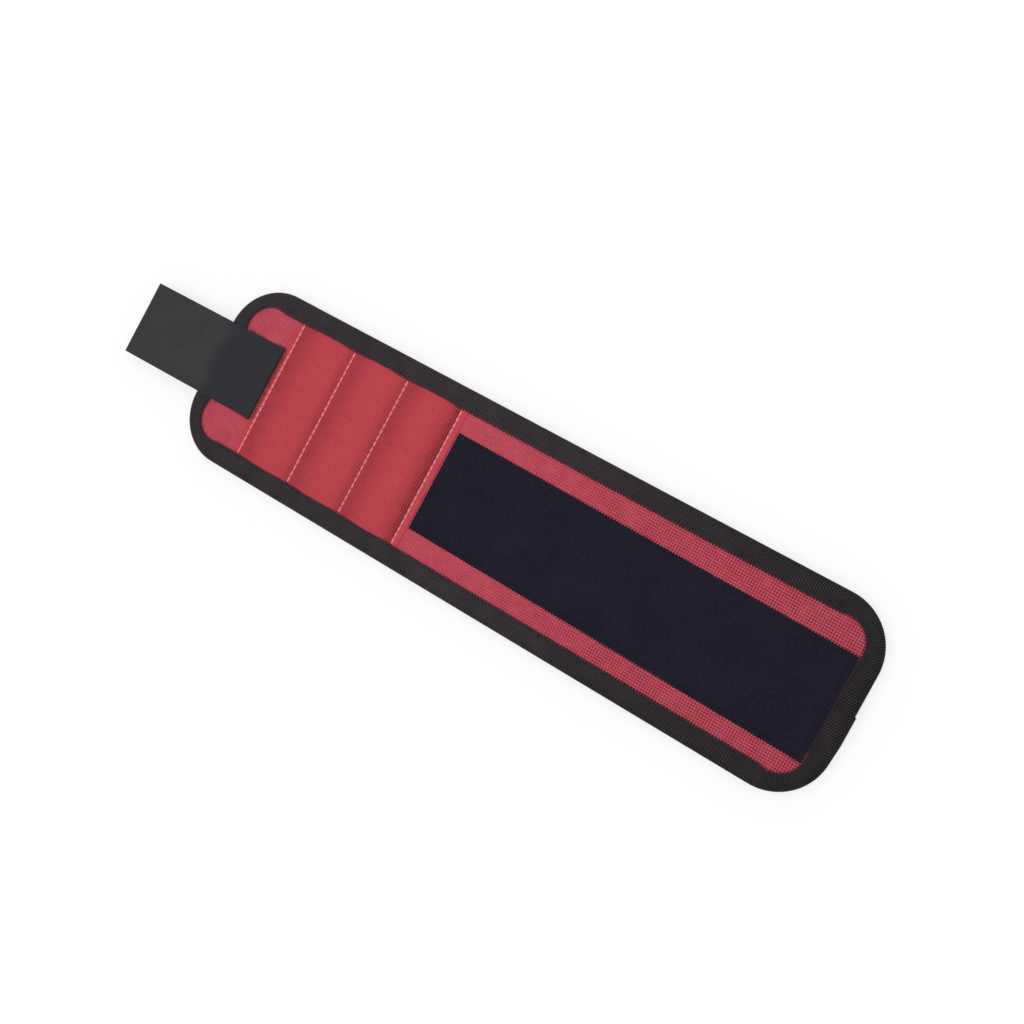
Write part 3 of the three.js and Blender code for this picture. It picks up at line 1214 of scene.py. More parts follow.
@dataclass
class PocketPanel(SheetLayer):
    """The red panel that is sewn down as three magnet pockets, swollen by simulation."""

    cells_each: int = 30
    hem_cells: int = 3
    cell_across: float = 1.2 * MM
    tuck: float = 3 * MM
    tuck_ease: Pair = (-1.5 * MM, 0.5 * MM)
    tuck_from: float = 0.4 * MM
    seam_half: float = 0.1 * MM
    seam_dip: float = 0.1 * MM
    hem_rise: float = 0.4 * MM
    start_rise: float = 1.2 * MM
    highest: float = 2.4 * MM
    fullness: float = 0.012
    pressure: float = 25.0
    frames: int = 24
    crown_rise: float = 2.16 * MM
    crown_round: float = 0.7
    crown_square: int = 6
    gather: float = 0.28 * MM
    gather_fall: float = 2.5 * MM
    gather_ease: Pair = (0.3 * MM, 1.5 * MM)
    gather_size: Pair = (6 * MM, 2.2 * MM)
    over_foam: float = 0.05 * MM
    over_magnet: float = 0.25 * MM
    magnet_fall: float = 0.45

    @cached_property
    def window(self) -> float:
        """Half of the panel's free width, between the bindings."""
        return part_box("pocket_seam_1")[1].y

    def phase(self, x: float) -> float:
        """How far along its pocket a place lies, from 0 to 1."""
        return ((x - self.plan.pocket_seams[0]) / self.plan.pocket_pitch) % 1

    def sewn_height(self, x: float, y: float) -> Optional[float]:
        """The height of the panel where it is sewn down or lies under the binding.

        Args:
            x: the place along the band.
            y: the place across it.

        Returns:
            The height, or None where the panel is free to swell.
        """
        seams = self.plan.pocket_seams
        free = 1 - eased(*self.tuck_ease, abs(y) - self.window)
        if x < seams[0] - self.seam_half or x > seams[-1] + self.seam_half:
            return self.plan.face + self.hem_rise * free
        if any(abs(x - seam) < self.seam_half for seam in seams):
            return self.plan.face - self.seam_dip * free
        return self.plan.face if abs(y) > self.window + self.tuck_from else None

    def start_height(self, x: float, y: float) -> float:
        """The height before the panel swells, with a slight crown in each pocket.

        Args:
            x: the place along the band.
            y: the place across it.

        Returns:
            The height.
        """
        sewn = self.sewn_height(x, y)
        if sewn is not None:
            return sewn
        return self.plan.face + self.start_rise * math.sin(math.pi * self.phase(x))

    def flat(self) -> Mesh:
        """Lays the panel out with whole cells between its seams.

        Returns:
            The open panel before it swells.
        """
        seams = self.plan.pocket_seams
        hem = self.hem_cells * self.plan.pocket_pitch / self.cells_each
        length = seams[-1] - seams[0] + 2 * hem
        width = 2 * (self.window + self.tuck)
        columns = self.cells_each * (len(seams) - 1) + 2 * self.hem_cells
        rows = 2 * round(width / 2 / self.cell_across)

        def spot(u: float, v: float) -> Pair:
            """The place along and across the band."""
            return seams[0] - hem + length * u, width * (v - 0.5)

        return level_sheet(columns, rows, spot, self.start_height)

    def swell(self, mesh: Mesh) -> None:
        """Blows the free cloth of the pockets up between its seams.

        Args:
            mesh: the flat panel, whose points are moved.
        """
        scene = bpy.context.scene
        trial = add_object("panel_trial", to_data("panel_trial", mesh.copy()))
        sewn = [v.index for v in trial.data.vertices if self.sewn_height(v.co.x, v.co.y) is not None]
        group = trial.vertex_groups.new(name="sewn")
        group.add(sewn, 1.0, "REPLACE")
        cloth = trial.modifiers.new("swell", "CLOTH")
        settings = {
            "quality": 6,
            "vertex_group_mass": group.name,
            "tension_stiffness": 20,
            "compression_stiffness": 20,
            "shear_stiffness": 6,
            "bending_stiffness": 0.4,
            "air_damping": 2,
            "shrink_min": -self.fullness,
            "use_pressure": True,
            "uniform_pressure_force": self.pressure,
        }
        for name, setting in settings.items():
            setattr(cloth.settings, name, setting)
        cloth.settings.effector_weights.gravity = 0
        cloth.collision_settings.use_collision = False
        cloth.point_cache.frame_start = 1
        cloth.point_cache.frame_end = self.frames
        for number in range(1, self.frames + 1):
            scene.frame_set(number)
        swollen = trial.evaluated_get(bpy.context.evaluated_depsgraph_get()).data
        for vert, moved in zip(mesh.verts, swollen.vertices):
            shift = moved.co - vert.co
            if shift.length > self.highest:
                shift.length = self.highest
            vert.co += shift
        LOG.info("pockets swelled to %.2f mm", max(vert.co.z for vert in mesh.verts) / MM)
        scene.frame_set(1)
        data = trial.data
        bpy.data.objects.remove(trial)
        bpy.data.meshes.remove(data)

    def crown(self, mesh: Mesh) -> None:
        """Args:
            mesh: the flat panel, whose points are moved.
        """
        for vert in mesh.verts:
            if self.sewn_height(vert.co.x, vert.co.y) is None:
                side = 1 - (abs(vert.co.y) / (self.window + self.tuck_ease[1])) ** self.crown_square
                arch = math.sin(math.pi * self.phase(vert.co.x)) ** self.crown_round
                vert.co.z = self.plan.face + self.crown_rise * arch * max(0, side)

    def pucker(self, mesh: Mesh) -> None:
        """Adds the small gathers that the thread pulls into the cloth beside each seam.

        Args:
            mesh: the swollen panel, whose points are moved.
        """
        along, across = self.gather_size
        for vert in mesh.verts:
            gap = min(abs(vert.co.x - seam) for seam in self.plan.pocket_seams)
            near = math.exp(-gap / self.gather_fall) * eased(*self.gather_ease, gap)
            wave = waves(vert.co.x / along, vert.co.y / across, 1, layer=3)
            vert.co.z += self.gather * wave * near

    def clear_filling(self, mesh: Mesh) -> None:
        """Lifts the cloth clear of the foam and the magnets under it.

        Args:
            mesh: the swollen panel, whose points are moved.
        """
        boxes = [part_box(name) for name in MAGNET_NODES]
        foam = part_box("padding_pocket_1")[1].z + self.thickness + self.over_foam
        for vert in mesh.verts:
            x, y, z = vert.co
            least = [foam]
            for low, high in boxes:
                beside = max(low.x - x, x - high.x, low.y - y, y - high.y, 0)
                least.append(high.z + self.thickness + self.over_magnet - beside * self.magnet_fall)
            vert.co.z = max(z, *least)

    def build(self) -> None:
        """Makes the panel in one piece for each fold that it crosses."""
        mesh = self.flat()
        self.swell(mesh)
        self.pucker(mesh)
        self.clear_filling(mesh)
        spans = self.plan.spans[: len(self.plan.pocket_seams)]
        for span in spans:
            last = span is spans[-1]
            sheet = kept(mesh, span.low, None if last else span.high)
            nodes = [] if last else [f"magnet_{span.bodies[1]}"]
            on = f"padding_{span.bodies[0 if last else 1]}"
            self.add(f"pocket_panel_{span.number + 1}", sheet, span.carry, nodes, on)


@dataclass
class LoopPatch(SheetLayer):
    """The black loop patch along the tail, with a flat sewn edge and a raised pile."""

    thickness: float = 0.7 * MM
    cell: float = 0.9 * MM
    selvage: float = 1.6 * MM
    pile_ease: float = 0.9 * MM
    tuft: float = 0.09 * MM
    tuft_size: float = 1.3 * MM
    wave: float = 0.15 * MM
    wave_size: float = 25 * MM
    askew: Pair = (0.3 * MM, -1.8 * MM)
    narrower: float = 0.98
    slot: ClassVar[str] = "loop_pile"
    held: ClassVar[Held] = Held.LAID

    @cached_property
    def box(self) -> tuple[Vector, Vector]:
        """The corners of the whole patch."""
        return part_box("loop_patch_1")[0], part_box(f"loop_patch_{len(self.plan.tail_spans)}")[1]

    def shift(self, x: float) -> float:
        """How far the patch is sewn from the band's middle line at a place along the band."""
        low, high = self.box
        return self.askew[0] + (self.askew[1] - self.askew[0]) * (x - low.x) / (high.x - low.x)

    def across(self, x: float, y: float) -> float:
        """Where a place of the straight patch comes to lie across the band."""
        return y * self.narrower + self.shift(x)

    def height(self, x: float, y: float) -> float:
        """The height of the patch: flat at the sewn edge, then the tufted pile.

        Args:
            x: the place along the band.
            y: the place across it.

        Returns:
            The height.
        """
        low, high = self.box
        straight = (y - self.shift(x)) / self.narrower
        inside = min(x - low.x, high.x - x, straight - low.y, high.y - straight)
        pile = eased(self.selvage, self.selvage + self.pile_ease, inside)
        tuft = waves(x, y, self.tuft_size, layer=0) * self.tuft
        wave = waves(x, y, self.wave_size, layer=5) * self.wave
        edge = low.z + self.thickness
        return edge + (high.z - edge + tuft + wave) * pile

    def build(self) -> None:
        """Makes the patch in one piece for each fold of the tail."""
        mesh = tape_sheet(*self.box, self.cell, self.across, self.height)
        for number, span in enumerate(self.plan.tail_spans, start=1):
            sheet = kept(mesh, None if number == 1 else span.low, span.high)
            on = f"face_cloth_{span.bodies[1]}"
            self.add(f"loop_pile_{number}", sheet, span.carry, [f"loop_patch_{number}"], on)


@dataclass
class EdgeBinding(SheetLayer):
    """The black tape folded round the band's edge, with one lap at the tail."""

    thickness: float = 0.55 * MM
    along_cell: float = 1.8 * MM
    around_cells: int = 32
    bulge: float = 0.3 * MM
    bulge_start: float = 0.75 * MM
    stitch_inset: float = 8.1 * MM
    stitch_dip: float = 0.18 * MM
    stitch_reach: float = 0.8 * MM
    lap: float = 11.5 * MM
    lap_ease: float = 11 * MM
    lap_rise: float = 0.6 * MM
    pucker: float = 0.2 * MM
    pucker_start: float = 5 * MM
    pucker_size: float = 0.75 * MM
    wander: float = 0.15 * MM
    wander_size: Pair = (14 * MM, 9 * MM)
    corner_pull: float = 2.4 * MM
    slot: ClassVar[str] = "black_tape"
    held: ClassVar[Held] = Held.FOLDED
    in_strips: ClassVar[bool] = True

    @cached_property
    def radius(self) -> float:
        """The radius of the fold, round the band's edge."""
        return self.plan.thick / 2

    @cached_property
    def level(self) -> float:
        """The width of the level part of the tape on each side of the fold."""
        return self.plan.binding_cover - self.radius

    @cached_property
    def width(self) -> float:
        """The width of the tape before it is folded."""
        return 2 * self.level + math.pi * self.radius

    def reach(self, corner: float) -> float:
        """How far the tape reaches in over the face: less at the corners, where it is pulled tight."""
        return self.plan.binding_cover - self.corner_pull * corner

    def profile(self, across: float) -> tuple[Vector, Vector]:
        """The fold of the tape.

        Args:
            across: the distance from the tape's upper edge.

        Returns:
            The place, as the distance in from the band's edge and the height, and the way that it faces.
        """
        cover = self.plan.binding_cover
        if across < self.level:
            return Vector((cover - across, 2 * self.radius)), Vector((0, 1))
        if across > self.width - self.level:
            return Vector((across - self.width + cover, 0)), Vector((0, -1))
        angle = (across - self.level) / self.radius
        out = Vector((-math.sin(angle), math.cos(angle)))
        return Vector((self.radius, self.radius)) + out * self.radius, out

    def relief(self, along: float, across: float, corner: float) -> float:
        """How far the tape stands out from its plain fold.

        Args:
            along: the distance along the tape.
            across: the distance from its upper edge.
            corner: 1 in the middle of a round corner and 0 on the straights.

        Returns:
            The height above the plain fold.
        """
        spot, out = self.profile(across)
        up = min(1.0, 1 + out.y)
        lap = eased(self.plan.edge_length - self.lap_ease, self.plan.edge_length, along) * up
        lap -= (1 - eased(self.lap, self.lap + self.lap_ease, along)) * (1 - up)
        if across >= self.level:
            return self.lap_rise * lap
        inset = spot.x
        swell = math.sin(math.pi * min(1, max(0, (inset - self.bulge_start) / self.stitch_inset)))
        dip = math.exp(-(((inset - self.stitch_inset) / self.stitch_reach) ** 2))
        gather = math.sin(along / self.pucker_size) * corner
        gather *= eased(self.pucker_start, self.plan.binding_cover, inset)
        wander = waves(along / self.wander_size[0], across / self.wander_size[1], 1, layer=1)
        sewn = self.bulge * swell - self.stitch_dip * dip + self.pucker * gather
        return sewn + self.lap_rise * lap + self.wander * wander

    def place(self, along: float, across: float) -> Vector:
        """A place on the outer side of the tape.

        Args:
            along: the distance along the tape.
            across: the distance from its upper edge.

        Returns:
            The place on the band.
        """
        point, facing, corner = self.plan.edge_at(along)
        spot, out = self.profile(across)
        spot = spot + out * self.relief(along, across, corner)
        if spot.x > self.radius:
            pulled = (self.reach(corner) - self.radius) / self.level
            spot.x = self.radius + (spot.x - self.radius) * pulled
        return Vector((*(point - heading(facing) * spot.x), spot.y))

    def build(self) -> None:
        """Makes the binding in one piece for each span."""
        length = self.plan.edge_length + self.lap
        mesh = laid_sheet(
            round(length / self.along_cell),
            self.around_cells,
            lambda u, v: (u * length, v * self.width),
            lambda u, v: self.place(u * length, v * self.width),
        )
        turn_over(mesh)
        solids = [name for name in frame["nodes"] if name.startswith("binding")]
        for span in self.plan.spans:
            nodes = [name for body in span.covers for name in solids if name.endswith(body)]
            sheet = kept(mesh, span.low, span.high)
            on = f"padding_{span.bodies[1]}"
            self.add(f"binding_tape_{span.number + 1}", sheet, span.carry, nodes, on)


@dataclass
class Lining(SheetLayer):
    """The mesh lining against the wrist."""

    thickness: float = 0.7 * MM
    inset: float = 3 * MM
    cell: float = 2.5 * MM
    tuck: Pair = (8.5 * MM, 11 * MM)
    sag: float = 0.08 * MM
    sag_size: float = 20 * MM
    slot: ClassVar[str] = "lining_cloth"

    @cached_property
    def tucked(self) -> float:
        """The height of the lining where it is tucked into the binding."""
        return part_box("lining_strap_end")[1].z - self.thickness

    def height(self, x: float, y: float) -> float:
        """The height of the lining's outer side.

        Args:
            x: the place along the band.
            y: the place across it.

        Returns:
            The height, which is flush with the binding further in.
        """
        free = eased(*self.tuck, self.plan.from_edge(x, y))
        sag = (waves(x, y, self.sag_size, layer=9) + 1) * self.sag
        return self.tucked + (sag - self.tucked) * free

    def build(self) -> None:
        """Makes the lining in one piece for each span."""
        mesh = band_sheet(self.plan, self.inset, self.cell, self.height)
        turn_over(mesh)
        for span in self.plan.spans:
            nodes = [f"lining_{body}" for body in span.covers]
            sheet = kept(mesh, span.low, span.high)
            on = f"padding_{span.bodies[1]}"
            self.add(f"lining_mesh_{span.number + 1}", sheet, span.carry, nodes, on)


@dataclass
class Padding:
    """The foam between face and lining, cut out round the magnets."""

    plan: Plan
    material: Material
    inset: float = 1.5 * MM
    cell: float = 4 * MM
    clearance: float = 0.3 * MM
    fill: float = 0.8

    def cut_out(self, mesh: Mesh) -> None:
        """Cuts the openings for the magnets.

        Args:
            mesh: the foam's open sheet.
        """
        room = Vector((self.clearance, self.clearance, 0))
        openings = [(low - room, high + room) for low, high in map(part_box, MAGNET_NODES)]
        corners = [corner for pair in openings for corner in pair]
        lines = {(round(corner[axis], 6), axis) for corner in corners for axis in (0, 1)}
        for at, axis in sorted(lines):
            normal = Vector((1 - axis, axis, 0))
            bisect(mesh, normal * at, normal)
        gone = []
        for face in mesh.faces:
            middle = face.calc_center_median()
            if any(a.x < middle.x < b.x and a.y < middle.y < b.y for a, b in openings):
                gone.append(face)
        bmesh.ops.delete(mesh, geom=gone, context="FACES")

    def build(self) -> None:
        """Makes the foam in one piece for each span."""
        bottom, top = (corner.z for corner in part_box("padding_strap_end"))
        mesh = band_sheet(self.plan, self.inset, self.cell, lambda x, y: top)
        self.cut_out(mesh)
        for span in self.plan.spans:
            part = kept(mesh, span.low, span.high)
            thicken(part, top - bottom)
            piece = finish_piece(f"foam_{span.number + 1}", part, self.material, "foam")
            span.carry(piece)
            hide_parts(*[f"padding_{body}" for body in span.covers])


@dataclass
class PocketStitching:
    """The pale rows of stitches on each side of every pocket."""

    plan: Plan
    panel: PocketPanel
    material: Material
    length: float = 3.3 * MM
    gap: float = -0.15 * MM
    radius: float = 0.55 * MM
    flatness: float = 0.8
    rise: float = 0.25 * MM

    def build(self) -> None:
        """Makes one piece for each row."""
        pitch = self.length + self.gap
        count = int(2 * self.panel.window / pitch)
        height = self.plan.face - self.panel.seam_dip + self.rise
        high = self.radius * self.flatness
        for span, seam in zip(self.plan.spans, self.plan.pocket_seams):
            row = Scatter(bead(around=8, rings=6))
            for number in range(count):
                centre = Vector((seam, (number - (count - 1) / 2) * pitch, height))
                row.add(stitch_at(centre, math.pi / 2, self.length / 2, self.radius, high))
            piece = row.finish(f"pocket_stitches_{span.number + 1}", self.material, "seam_thread")
            span.carry(piece)
            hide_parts(f"pocket_seam_{span.number + 1}")


@dataclass
class ClosureStrap(SheetLayer):
    """The strap that is sewn on the face and folds down at the band's edge."""

    cell: float = 1.2 * MM
    thinner: float = 0.1 * MM
    droop: float = 0.1 * MM
    droop_power: float = 1.6
    wave: float = 0.15 * MM
    wave_size: float = 18 * MM
    soft_rim: float = 0.25 * MM
    fold_before: float = 5 * MM
    fold_after: float = 3 * MM
    step_ease: float = 4 * MM
    over_face: float = 0.1 * MM
    askew: float = 1.2 * MM
    slot: ClassVar[str] = "strap_tape"
    held: ClassVar[Held] = Held.LAID

    def __post_init__(self) -> None:
        """Takes the tape's thickness from the solid of its free length."""
        self.thickness = self.flap[1].z - self.flap[0].z - self.thinner

    @cached_property
    def flap(self) -> tuple[Vector, Vector]:
        """The corners of the strap's free length."""
        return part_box("strap_flap")

    @cached_property
    def sewn_end(self) -> float:
        """Where the strap ends along the band."""
        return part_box("strap_anchor")[1].x

    def across(self, x: float, y: float) -> float:
        """Where a place of the straight strap comes to lie across the band, sewn a little askew."""
        tip = self.flap[0].x
        return y + self.askew * (x - tip) / (self.sewn_end - tip)

    def height(self, x: float) -> float:
        """The height of the strap's outer side, without its wave.

        Args:
            x: the place along the band.

        Returns:
            The height, which steps down from the binding to the face.
        """
        low, high = self.flap
        raw_edge = self.plan.left + self.plan.binding_cover
        step = eased(raw_edge, raw_edge + self.step_ease, x)
        out = max(0.0, self.plan.left - x) / (self.plan.left - low.x)
        sewn_top = self.plan.face + self.over_face + high.z - low.z
        return high.z + (sewn_top - high.z) * step - self.droop * out**self.droop_power

    def waved(self, x: float, y: float) -> float:
        """The height of the strap's outer side, with a slight wave in the cloth."""
        return self.height(x) + waves(x, y, self.wave_size, layer=2) * self.wave

    def fold(self, piece: Piece) -> None:
        """Bakes the transform of a piece of the strap into its mesh.

        Args:
            piece: the finished piece.
        """
        start = (self.plan.left + self.fold_after, 0, 0)
        end = (self.plan.left - self.fold_before, 0, 0)
        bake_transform(piece)

    def give_body(self, sheet: Mesh) -> None:
        """Gives the tape its thickness and soft rims."""
        thicken(sheet, self.thickness)
        soften_rim(sheet, self.soft_rim, self.plan.middles[0])

    def build(self) -> None:
        """Makes the strap in two pieces: the free length with the fold, and the sewn end."""
        low, high = self.flap
        mesh = tape_sheet(low, Vector((self.sewn_end, high.y)), self.cell, self.across, self.waved)
        cut = self.plan.middles[0]
        on = "face_cloth_strap_end"
        self.add("strap_free", kept(mesh, None, cut), self.fold, ["strap_flap"], on)
        self.add("strap_sewn", kept(mesh, cut, None), self.plan.spans[0].carry, ["strap_anchor"], on)


@dataclass
class HookPad:
    """The hook pad under the strap: a woven base with rows of bent hooks."""

    strap: ClosureStrap
    material: Material
    base: float = 0.45 * MM
    cell: float = 2 * MM
    pitch: float = 1.5 * MM
    margin: float = 1.5 * MM
    bare_rim: float = 2 * MM
    sunk: float = 0.05 * MM
    wire: float = 0.13 * MM
    wire_sides: int = 4
    stalk: float = 0.35 * MM
    bend: float = 0.17 * MM
    bend_angle: float = math.radians(-150)
    bend_steps: int = 3
    slot: ClassVar[str] = "hook_field"

    @cached_property
    def box(self) -> tuple[Vector, Vector]:
        """The corners of the pad's solid."""
        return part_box("hook_pad")

    def height(self, x: float, y: float) -> float:
        """The height of the base's underside, which follows the strap."""
        return self.strap.height(x) - (self.strap.flap[1].z - self.box[1].z) - self.base

    def one_hook(self) -> bpy.types.Mesh:
        """Makes a single hook.

        Returns:
            The hook, standing down from the origin and bent over at its tip.
        """
        mesh = bmesh.new()
        ring = bmesh.ops.create_circle(mesh, segments=self.wire_sides, radius=self.wire, cap_ends=False)
        stalk = bmesh.ops.extrude_edge_only(mesh, edges=mesh.edges[:])
        top = [item for item in stalk["geom"] if isinstance(item, bmesh.types.BMVert)]
        bmesh.ops.translate(mesh, verts=top, vec=(0, 0, -self.stalk))
        rim = [edge for edge in mesh.edges if all(vert in top for vert in edge.verts)]
        bent = bmesh.ops.spin(
            mesh,
            geom=rim,
            cent=(self.bend, 0, -self.stalk),
            axis=(0, 1, 0),
            angle=self.bend_angle,
            steps=self.bend_steps,
        )
        tip = [item for item in bent["geom_last"] if isinstance(item, bmesh.types.BMEdge)]
        bmesh.ops.contextual_create(mesh, geom=tip)
        root = [edge for edge in mesh.edges if all(vert in ring["verts"] for vert in edge.verts)]
        bmesh.ops.contextual_create(mesh, geom=root)
        bmesh.ops.recalc_face_normals(mesh, faces=mesh.faces[:])
        return to_data("one_hook", mesh)

    def hooks(self) -> Piece:
        """Sets the hooks in shifted rows, which face both ways in turn.

        Returns:
            The piece with all hooks.
        """
        low, high = self.box
        columns = int((high.x - low.x - self.bare_rim) / self.pitch)
        rows = int((high.y - low.y - self.bare_rim) / self.pitch)
        hooks = Scatter(self.one_hook())
        for column in range(columns):
            for row in range(rows):
                x = low.x + self.margin + column * self.pitch
                y = low.y + self.margin + (row + 0.5 * (column % 2)) * self.pitch
                y = self.strap.across(x, y)
                root = Matrix.Translation((x, y, self.height(x, y) + self.sunk))
                hooks.add(root @ Matrix.Rotation(math.pi * (row % 2), 4, "Z"))
        return hooks.finish("hook_field", self.material, self.slot)

    def build(self) -> None:
        """Makes the base and the hooks."""
        low, high = self.box
        mesh = tape_sheet(low, high, self.cell, self.strap.across, self.height)
        turn_over(mesh)
        thicken(mesh, self.base)
        base = finish_piece("hook_base", mesh, self.material, self.slot)
        self.strap.fold(base)
        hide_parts("hook_pad")
        hooks = self.hooks()
        self.strap.fold(hooks)


class Side(Enum):
    """A side of the band."""

    FACE = "face"
    LINING = "lining"


@dataclass
class EdgeStitching:
    """The black zigzag along the binding's raw edge, the loop patch and the strap's sewn end."""

    plan: Plan
    binding: EdgeBinding
    patch: LoopPatch
    strap: ClosureStrap
    material: Material
    over_edge: float = 0.1 * MM
    face_dip: float = 0.15 * MM
    lining_rise: float = 0.05 * MM
    patch_inset: float = 0.4 * MM
    patch_share: float = 0.6
    strap_rise: float = 0.35 * MM
    strap_bite: float = 1.7
    strap_past: float = 0.6 * MM
    pitch: float = 0.75 * MM
    length: float = 2.3 * MM
    radius: float = 0.2 * MM
    slant: float = math.radians(20)

    @cached_property
    def works(self) -> list[Scatter]:
        """The stitches of each span."""
        return [Scatter(bead(around=5, rings=4)) for _ in self.plan.spans]

    def zigzag(self, number: int, centre: Vector, across: float, bite: float = 1.0) -> None:
        """Adds one stitch of a zigzag to the span that it lies in.

        Args:
            number: its number in the row, which tells the way that it leans.
            centre: its middle.
            across: the direction across the row, in radians.
            bite: how much longer than usual it is.
        """
        lean = self.slant if number % 2 else -self.slant
        span = next(span for span in self.plan.spans if span.holds(centre.x))
        stitch = stitch_at(centre, across + lean, self.length * bite / 2, self.radius, self.radius)
        self.works[span.number].add(stitch)

    def binding_row(self, side: Side) -> None:
        """Adds the zigzag that holds the binding on one side.

        Args:
            side: the side of the band.
        """
        height = self.plan.thick - self.face_dip if side is Side.FACE else self.lining_rise
        for number in range(int(self.plan.edge_length / self.pitch)):
            point, facing, corner = self.plan.edge_at(number * self.pitch)
            spot = point - heading(facing) * (self.binding.reach(corner) - self.over_edge)
            self.zigzag(number, Vector((*spot, height)), facing)

    def straight_row(self, start: Vector, end: Vector, bite: float = 1.0) -> None:
        """Adds a zigzag along a straight edge.

        Args:
            start: one end of the edge.
            end: its other end.
            bite: how much longer and closer than usual the stitches are.
        """
        across = math.atan2(end.y - start.y, end.x - start.x) + math.pi / 2
        count = int((end - start).length / self.pitch * bite)
        for number in range(count):
            self.zigzag(number, start.lerp(end, (number + 0.5) / count), across, bite)

    def patch_rows(self) -> None:
        """Adds the zigzag along the loop patch's two long edges."""
        low, high = self.patch.box
        height = low.z + self.patch.thickness * self.patch_share
        for y in (low.y + self.patch_inset, high.y - self.patch_inset):
            self.straight_row(*[Vector((x, self.patch.across(x, y), height)) for x in (low.x, high.x)])

    def strap_rows(self) -> None:
        """Adds the zigzag round the strap's sewn end, from the binding's raw edge on; its end row also
        stands in as painted shadow.
        """
        low, high = self.strap.flap
        height = self.plan.face + self.strap_rise
        left = self.plan.left + self.plan.binding_cover + self.length
        # The row across the strap's end runs past the tape with longer, closer black stitches: a real
        # bar-tack that also stands in as painted shadow beside the strap's end.
        right = self.strap.sewn_end + self.strap_past
        corners = [(left, low.y), (right, low.y), (right, high.y), (left, high.y)]
        spots = [Vector((x, self.strap.across(x, y), height)) for x, y in corners]
        for start, end, bite in zip(spots, spots[1:], (1.0, self.strap_bite, 1.0)):
            self.straight_row(start, end, bite)

    def build(self) -> None:
        """Makes one piece for each span."""
        for side in Side:
            self.binding_row(side)
        self.patch_rows()
        self.strap_rows()
        for span, work in zip(self.plan.spans, self.works):
            span.carry(work.finish(f"edge_stitches_{span.number + 1}", self.material, "black_tape"))


@dataclass
class Magnets:
    """The magnets in the pockets, which keep their solids."""

    material: Material

    def dress(self) -> None:
        """Gives each magnet its plating."""
        for name in MAGNET_NODES:
            data = frame["nodes"][name].data
            data.materials.clear()
            data.materials.append(self.material)
            LOG.info("dressed %s", name)


# Stage, light and camera


@dataclass
class Studio:
    """White surroundings, a clear floor, soft light from above and the photograph's camera."""

    target: Vector = field(default_factory=lambda: Vector((25.76 * MM, 5.23 * MM, 5 * MM)))
    distance: float = 659.5 * MM
    tilt: float = math.radians(21.42)
    lean: float = math.radians(-2.81)
    turn: float = math.radians(29.3)
    sensor: float = 36.0
    focal_pixels: float = 1480
    image_pixels: float = 1024
    floor_reach: float = 3.0
    floor_drop: float = 0.05 * MM
    shadow_reach: float = 30 * MM
    shadow_level: float = 0.3
    shadow_samples: int = 4
    around: float = 0.45
    key_level: float = 0.52
    key_size: float = 0.5
    key_place: Vector = field(default_factory=lambda: Vector((0.0, 0.1, 0.65)))

    def camera(self) -> None:
        """Adds the camera and makes it the scene's own."""
        data = bpy.data.cameras.new("photo_camera")
        data.sensor_width = self.sensor
        data.lens = self.sensor * self.focal_pixels / self.image_pixels
        camera = add_object("photo_camera", data)
        aim = Matrix.Rotation(self.lean, 4, "X") @ Matrix.Rotation(self.tilt, 4, "Y")
        turned = aim @ Matrix.Rotation(self.turn, 4, "Z")
        back = turned @ Vector((0, 0, 1))
        camera.matrix_world = Matrix.Translation(self.target + back * self.distance) @ turned
        bpy.context.scene.camera = camera

    def key_light(self) -> None:
        """Adds one soft lamp that points at the band, its level a share of a white surface's."""
        aim = self.key_place - self.target
        data = bpy.data.lights.new("key_light", "AREA")
        data.size = self.key_size
        data.energy = self.key_level * math.pi**2 * aim.length**3 / aim.z
        lamp = add_object("key_light", data)
        lamp.rotation_mode = "QUATERNION"
        lamp.rotation_quaternion = aim.to_track_quat("Z", "Y")
        lamp.location = self.key_place

    def seen(self, shading: Shading) -> Value:
        """Tells what is looked at from the light that falls on things.

        Args:
            shading: the tree that asks.

        Returns:
            1 for what the camera, a mirror or a glass looks at, and 0 for the rest.
        """
        path = shading.node("ShaderNodeLightPath")
        names = ("Is Camera Ray", "Is Glossy Ray", "Is Transmission Ray")
        camera, mirror, glass = (Value(shading, path.outputs[name]) for name in names)
        return camera.run("MAXIMUM", mirror).run("MAXIMUM", glass)

    def world(self) -> None:
        """Adds the white surroundings."""
        world = bpy.data.worlds.new("white_room")
        world.use_nodes = True
        shading = Shading(world.node_tree)
        strength = self.seen(shading) * (1 - self.around) + self.around
        inputs = {"Color": (1, 1, 1, 1), "Strength": strength}
        light = shading.node("ShaderNodeBackground", inputs=inputs)
        shading.node("ShaderNodeOutputWorld", inputs={"Surface": light.outputs[0]})
        bpy.context.scene.world = world

    def floor(self) -> None:
        """Adds the floor, which is clear to the white surroundings and keeps the band's soft shadow."""
        material, shading = Shading.of_material("floor_white")
        clear = shading.node("ShaderNodeBsdfTransparent")
        dark = shading.node("ShaderNodeBsdfDiffuse", inputs={"Color": (0, 0, 0, 1)})
        settings = {"samples": self.shadow_samples}
        inputs = {"Distance": self.shadow_reach}
        open_sky = shading.value("AO", "ShaderNodeAmbientOcclusion", settings, inputs)
        layers = {0: (1 - open_sky) * self.shadow_level, 1: clear.outputs[0], 2: dark.outputs[0]}
        film = shading.node("ShaderNodeMixShader", inputs=layers)
        shading.node("ShaderNodeOutputMaterial", inputs={"Surface": film.outputs[0]})
        mesh = bmesh.new()
        bmesh.ops.create_grid(mesh, x_segments=2, y_segments=2, size=self.floor_reach)
        floor = add_object("floor", to_data("floor", mesh))
        floor.data.materials.append(material)
        floor.location.z = -self.floor_drop

    def build(self) -> None:
        """Sets the camera, the light and the floor."""
        self.camera()
        self.world()
        self.floor()
        self.key_light()
        bpy.context.scene.view_settings.view_transform = "Standard"


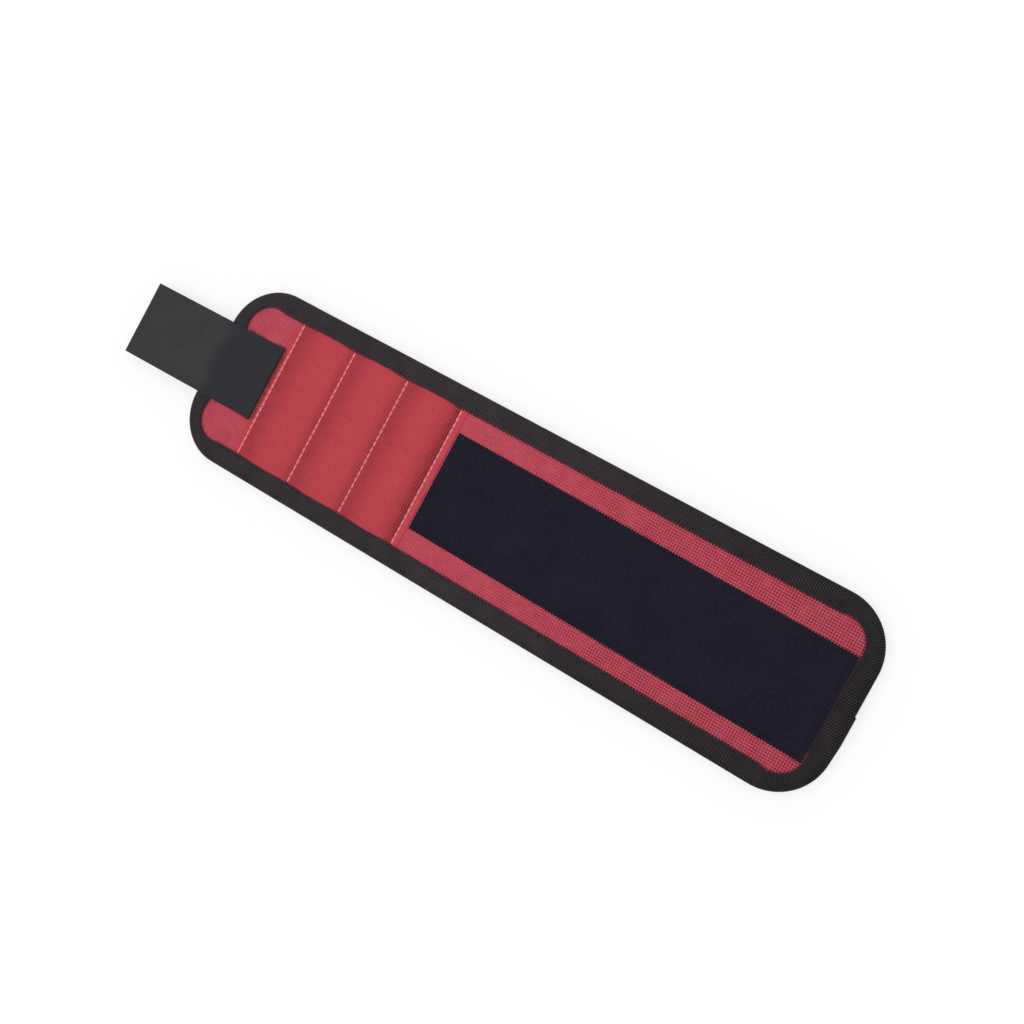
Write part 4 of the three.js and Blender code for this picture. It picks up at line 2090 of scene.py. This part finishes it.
def main() -> None:
    """Builds every piece in order."""
    logging.basicConfig(level=logging.INFO, format="%(message)s")
    plan = Plan()
    Studio().build()
    face_red = FaceWeave(
        "red_face_cloth",
        colour=(202, 78, 94),
        second=(76, 18, 30),
        pale=(216, 100, 114),
        yarn=1.3 * MM,
        relief=0.16 * MM,
        contrast=1.2,
        blotch=9 * MM,
        coarse=(-10 * MM, 120 * MM),
        patch=16 * MM,
    )
    pocket_red = PocketWeave(
        "red_pocket_cloth",
        colour=(204, 73, 83),
        second=(92, 24, 32),
        pale=(214, 92, 102),
        yarn=1.15 * MM,
        relief=0.12 * MM,
        contrast=0.6,
        blotch=7 * MM,
        seams=plan.pocket_seams,
        pitch=plan.pocket_pitch,
    )
    # The stretch along the band over which the binding's painted shade darkens it towards the tail.
    darker = (0.0, plan.right)
    tape = RibbedTape("binding_grosgrain", (60, 54, 57), (16, 14, 17), 1.15 * MM, 0.1 * MM, darker)
    twill = TwillTape("strap_twill", (64, 64, 65), (42, 42, 47), 0.9 * MM, 0.04 * MM, plan.left)
    pile = LoopPile("loop_pile_mat", (42, 40, 55), (24, 23, 33), 0.8 * MM, 0.12 * MM)
    pale_thread = Thread("pale_thread", (244, 148, 146), (214, 104, 108))
    black_thread = Thread("black_thread", (40, 36, 38), (18, 16, 18))
    lining = MeshLining("lining_mesh", (44, 44, 47), (16, 16, 18), 2.2 * MM, 0.3 * MM)
    foam = OpenFoam("grey_foam", (112, 112, 115), (70, 70, 73), 0.7 * MM)
    nylon = HookPlastic("hook_nylon", (58, 58, 61), (36, 36, 39))
    steel = PlatedSteel("plated_steel", (202, 202, 198), (168, 168, 166))
    panel = PocketPanel(plan, pocket_red.material())
    patch = LoopPatch(plan, pile.material())
    binding = EdgeBinding(plan, tape.material())
    strap = ClosureStrap(plan, twill.material())
    FaceCloth(plan, face_red.material()).build()
    panel.build()
    patch.build()
    binding.build()
    Lining(plan, lining.material()).build()
    Padding(plan, foam.material()).build()
    PocketStitching(plan, panel, pale_thread.material()).build()
    EdgeStitching(plan, binding, patch, strap, black_thread.material()).build()
    strap.build()
    HookPad(strap, nylon.material()).build()
    Magnets(steel.material()).dress()


if __name__ == "__main__":
    main()
